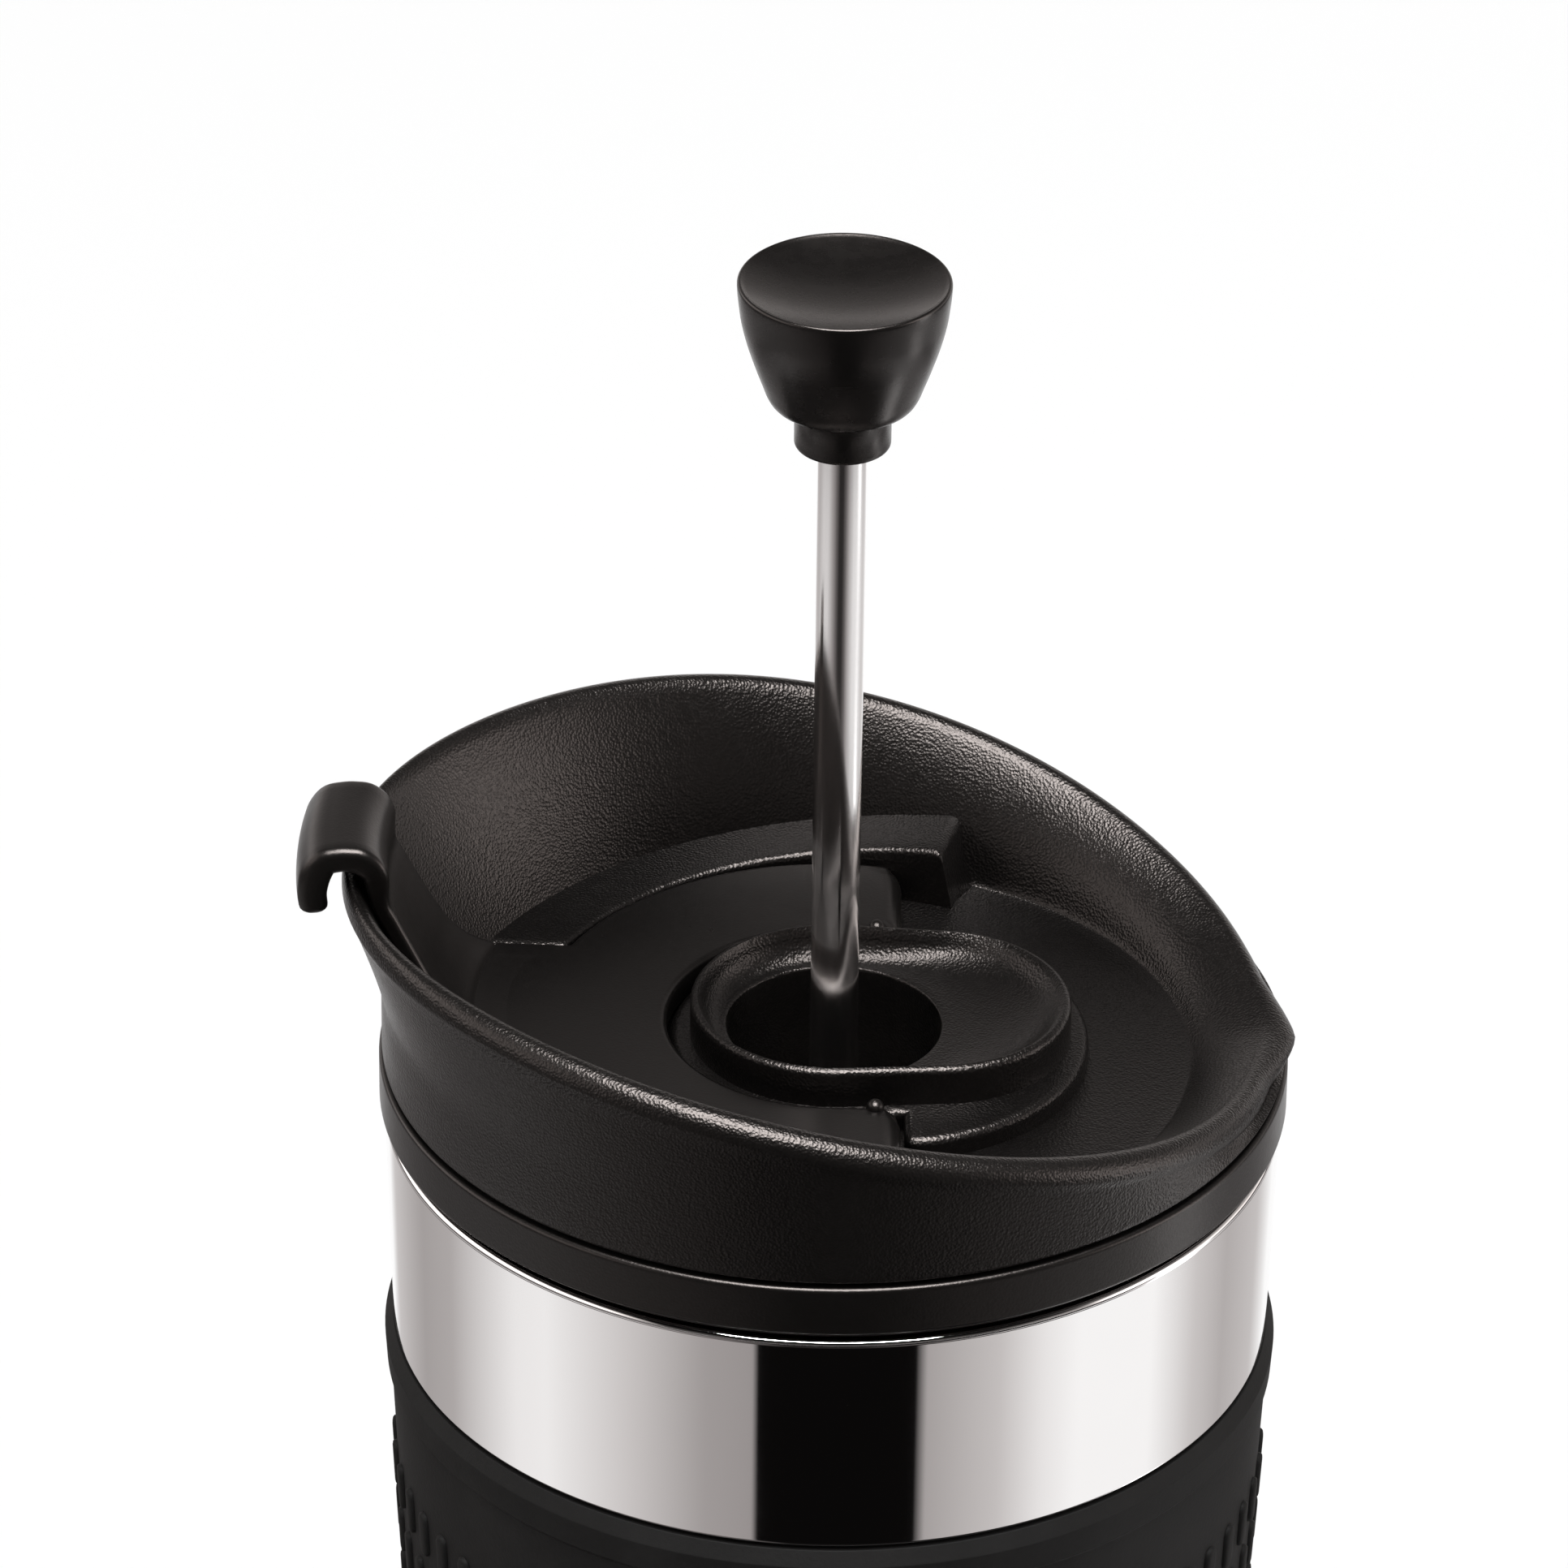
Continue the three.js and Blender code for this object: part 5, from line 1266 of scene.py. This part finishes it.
studio = {
    "floorSize": 6.0,
    "floorGlow": 0.8,
    "plainLight": 0.42,  # what the world gives to matt surfaces
    "lamps": [  # name, place, aims at, width, height, watts
        ("overheadBox", (0.1, 0.35, 1.5), (0, 0, 0.17), 1.1, 0.8, 9),
        ("leftBox", (-1.3, -0.35, 0.75), (0, 0, 0.16), 0.7, 1.1, 12),
        ("rightBox", (1.25, -0.2, 0.7), (0, 0, 0.16), 0.7, 1.1, 12),
        ("edgeBox", (0, -0.42, 1.6), (0, 0, 0.17), 1.0, 1.0, 90),
    ],
    "glossOnly": "edgeBox",  # only gloss sees this lamp, and only matt surfaces see the others
    "cardReach": (0.045, 2.6),
    "around": {  # degrees from the front (right is positive) and level, on three rings of the card
        "band": [(-180, 1.0), (-156, 1.0), (-148, 0.6), (-125, 0.39), (-110, 0.44), (-84, 0.87), (-74, 0.9),
                 (-50, 0.62), (-30, 0.37), (-17.6, 0.33), (-17.0, 0.003), (22.2, 0.003), (22.8, 0.39),
                 (42, 0.58), (54, 0.85), (64, 0.98), (87, 0.98), (104, 0.62), (118, 0.47), (138, 0.58),
                 (153, 1.0), (180, 1.0)],
        "rod": [(-180, 1.0), (-156, 0.9), (-146, 0.55), (-120, 0.5), (-90, 0.74), (-62, 0.74), (-40, 0.4),
                (-22, 0.14), (-8, 0.03), (8, 0.03), (22, 0.16), (40, 0.52), (62, 0.86), (96, 0.9), (120, 0.66),
                (140, 0.7), (156, 1.0), (180, 1.0)],
        "lid": [(-180, 1.0), (-158, 0.9), (-142, 0.3), (-122, 0.16), (-98, 0.12), (-74, 0.12), (-45, 0.15),
                (-20, 0.1), (-10, 0.01), (44, 0.01), (72, 0.05), (82, 0.5), (88, 1.0), (96, 1.0), (103, 0.5),
                (114, 0.15), (130, 0.15), (146, 0.6), (158, 1.0), (180, 1.0)],
    },
    "bandRing": (0.185, 0.195, 0.272, 0.282),
    "rodRing": (0.322, 0.332, 0.425, 0.445),
    "kicker": (80, 88, 96, 104, 2.4),  # a brighter part of the card at the right, off the other two rings
    "tint": (1.0, 0.90, 0.885),
    "boxTint": (1.05, 0.98, 0.95),
    "sides": [  # degrees from the front, level of the boxes beside the object, low over the floor
        (-180, 0.01), (-125, 0.01), (-104, 0.04), (-92, 0.06), (-64, 0.06), (-50, 0.02), (-20, 0.01),
        (40, 0.02), (64, 0.08), (78, 0.75), (89, 0.85), (98, 0.2), (109, 0.05), (124, 0.01), (180, 0.01),
    ],
    "sidePeak": 5.5,
    "sideFade": [(0.36, 0.3), (0.46, 1.0), (0.60, 0.9), (0.70, 0.3), (0.80, 0.02)],  # by height in the sky
    "rearFade": [(0.50, 1.0), (0.56, 0.9), (0.66, 0.40), (0.76, 0.32), (0.83, 0.04)],
    "rearReach": (-0.1, 0.4),
    "leftGlow": (0.6, 0.85, 0.05, 0.15, 0.6, 0.75, 1.6),
}


def makeFloor(v):
    sheet = Finish("floorPaper")
    paper = sheet.node("ShaderNodeBsdfDiffuse", {}, {"Color": (0.9, 0.9, 0.9)})
    white = sheet.node("ShaderNodeEmission", {}, {"Color": (1, 1, 1), "Strength": 1.0})
    seen = sheet.ray("Camera").most(sheet.ray("Glossy"))
    sheet.closed(sheet.node("ShaderNodeMixShader", {}, {0: seen * v["floorGlow"], 1: paper, 2: white}))
    bm = bmesh.new()
    half = v["floorSize"] / 2
    spots = ((-half, -half, 0), (half, -half, 0), (half, half, 0), (-half, half, 0))
    bm.faces.new([bm.verts.new(spot) for spot in spots])
    stagePiece("floor", bm, sheet.material)


def stagePiece(name, bm, material):
    piece = newObject(name, meshFrom(name, bm, material))
    return piece


def roundTheObject(sheet, x, y, levels, tint):
    turn = x.angleFrom(y * -1) / (2 * pi) + 0.5
    stops = []
    for degree, level in levels:
        grey = 1 - min(1, level)
        stops.append((0.5 + degree / 360, [level * (1 - grey * (1 - part)) for part in tint]))
    return sheet.ramp(stops, turn)


def makeCard(v):
    sheet = Finish("cardGlow")
    x, y, z = sheet.parts(sheet.place())
    reach = (x * x + y * y).root()
    turn = x.angleFrom(y * -1) * (180 / pi)
    glow = {name: roundTheObject(sheet, x, y, levels, v["tint"]) for name, levels in v["around"].items()}
    shown = glow["lid"]
    masks = []
    for name in ("band", "rod"):
        start, whole, last, end = v[name + "Ring"]
        masks.append(reach.between(start, whole) * reach.between(end, last))
        shown = sheet.mixed(masks[-1], shown, glow[name])
    left, full, lessening, right, extra = v["kicker"]
    kick = turn.between(left, full) * turn.between(right, lessening) * (1 - masks[0]) * (1 - masks[1])
    sheet.closed(sheet.node("ShaderNodeEmission", {}, {"Color": shown, "Strength": kick * extra + 1}))
    bm = bmesh.new()
    ringFaces(bm, [[bm.verts.new((x, y, 0.0005)) for x, y in circle(reach, 96)] for reach in v["cardReach"]])
    card = stagePiece("card", bm, sheet.material)
    card.visible_camera = False
    card.visible_diffuse = False
    card.visible_transmission = False
    card.visible_shadow = False


def makeWorld(v):
    world = bpy.data.worlds.new("studio")
    scene.world = world
    world.use_nodes = True
    world.cycles.sampling_method = "NONE"  # so that gloss sees only the boxes, and not the plain light
    world.node_tree.nodes.clear()
    sheet = Sheet(world.node_tree)
    x, y, z = sheet.parts(sheet.node("ShaderNodeTexCoord", output="Generated"))
    sides = sheet.grey(roundTheObject(sheet, x, y, v["sides"], (1, 1, 1)))
    fade, rear = [sheet.ramp([(place, [level] * 3) for place, level in v[name]], z * 0.5 + 0.5)
                  for name in ("sideFade", "rearFade")]
    level = sides * sheet.grey(fade) * v["sidePeak"] + y.between(*v["rearReach"]) * sheet.grey(rear)
    edge, full, foot, low, high, top, strong = v["leftGlow"]
    level = level + (x * -1).between(edge, full) * z.between(foot, low) * z.between(top, high) * strong
    camera, glossy, through = sheet.ray("Camera"), sheet.ray("Glossy"), sheet.ray("Transmission")
    seen = camera.most(through)
    mirrored = (1 - seen) * glossy
    strength = seen + mirrored * level + (1 - seen) * (1 - glossy) * v["plainLight"]
    tint = sheet.mixed(mirrored, (1, 1, 1), v["boxTint"])
    back = sheet.node("ShaderNodeBackground", {}, {"Color": tint, "Strength": strength})
    end = world.node_tree.nodes.new("ShaderNodeOutputWorld")
    world.node_tree.links.new(back.socket, end.inputs["Surface"])


def addLamps(v):
    for name, place, target, width, height, watts in v["lamps"]:
        data = bpy.data.lights.new(name, "AREA")
        data.shape = "RECTANGLE"
        data.size, data.size_y, data.energy = width, height, watts
        lamp = newObject(name, data)
        lamp.location = place
        lamp.rotation_euler = (Vector(target) - Vector(place)).to_track_quat("-Z", "Y").to_euler()
        lamp.visible_glossy = name == v["glossOnly"]
        lamp.visible_diffuse = name != v["glossOnly"]


makeFloor(studio)
makeCard(studio)
makeWorld(studio)
addLamps(studio)
scene.view_settings.view_transform = "Standard"
print("studio made")
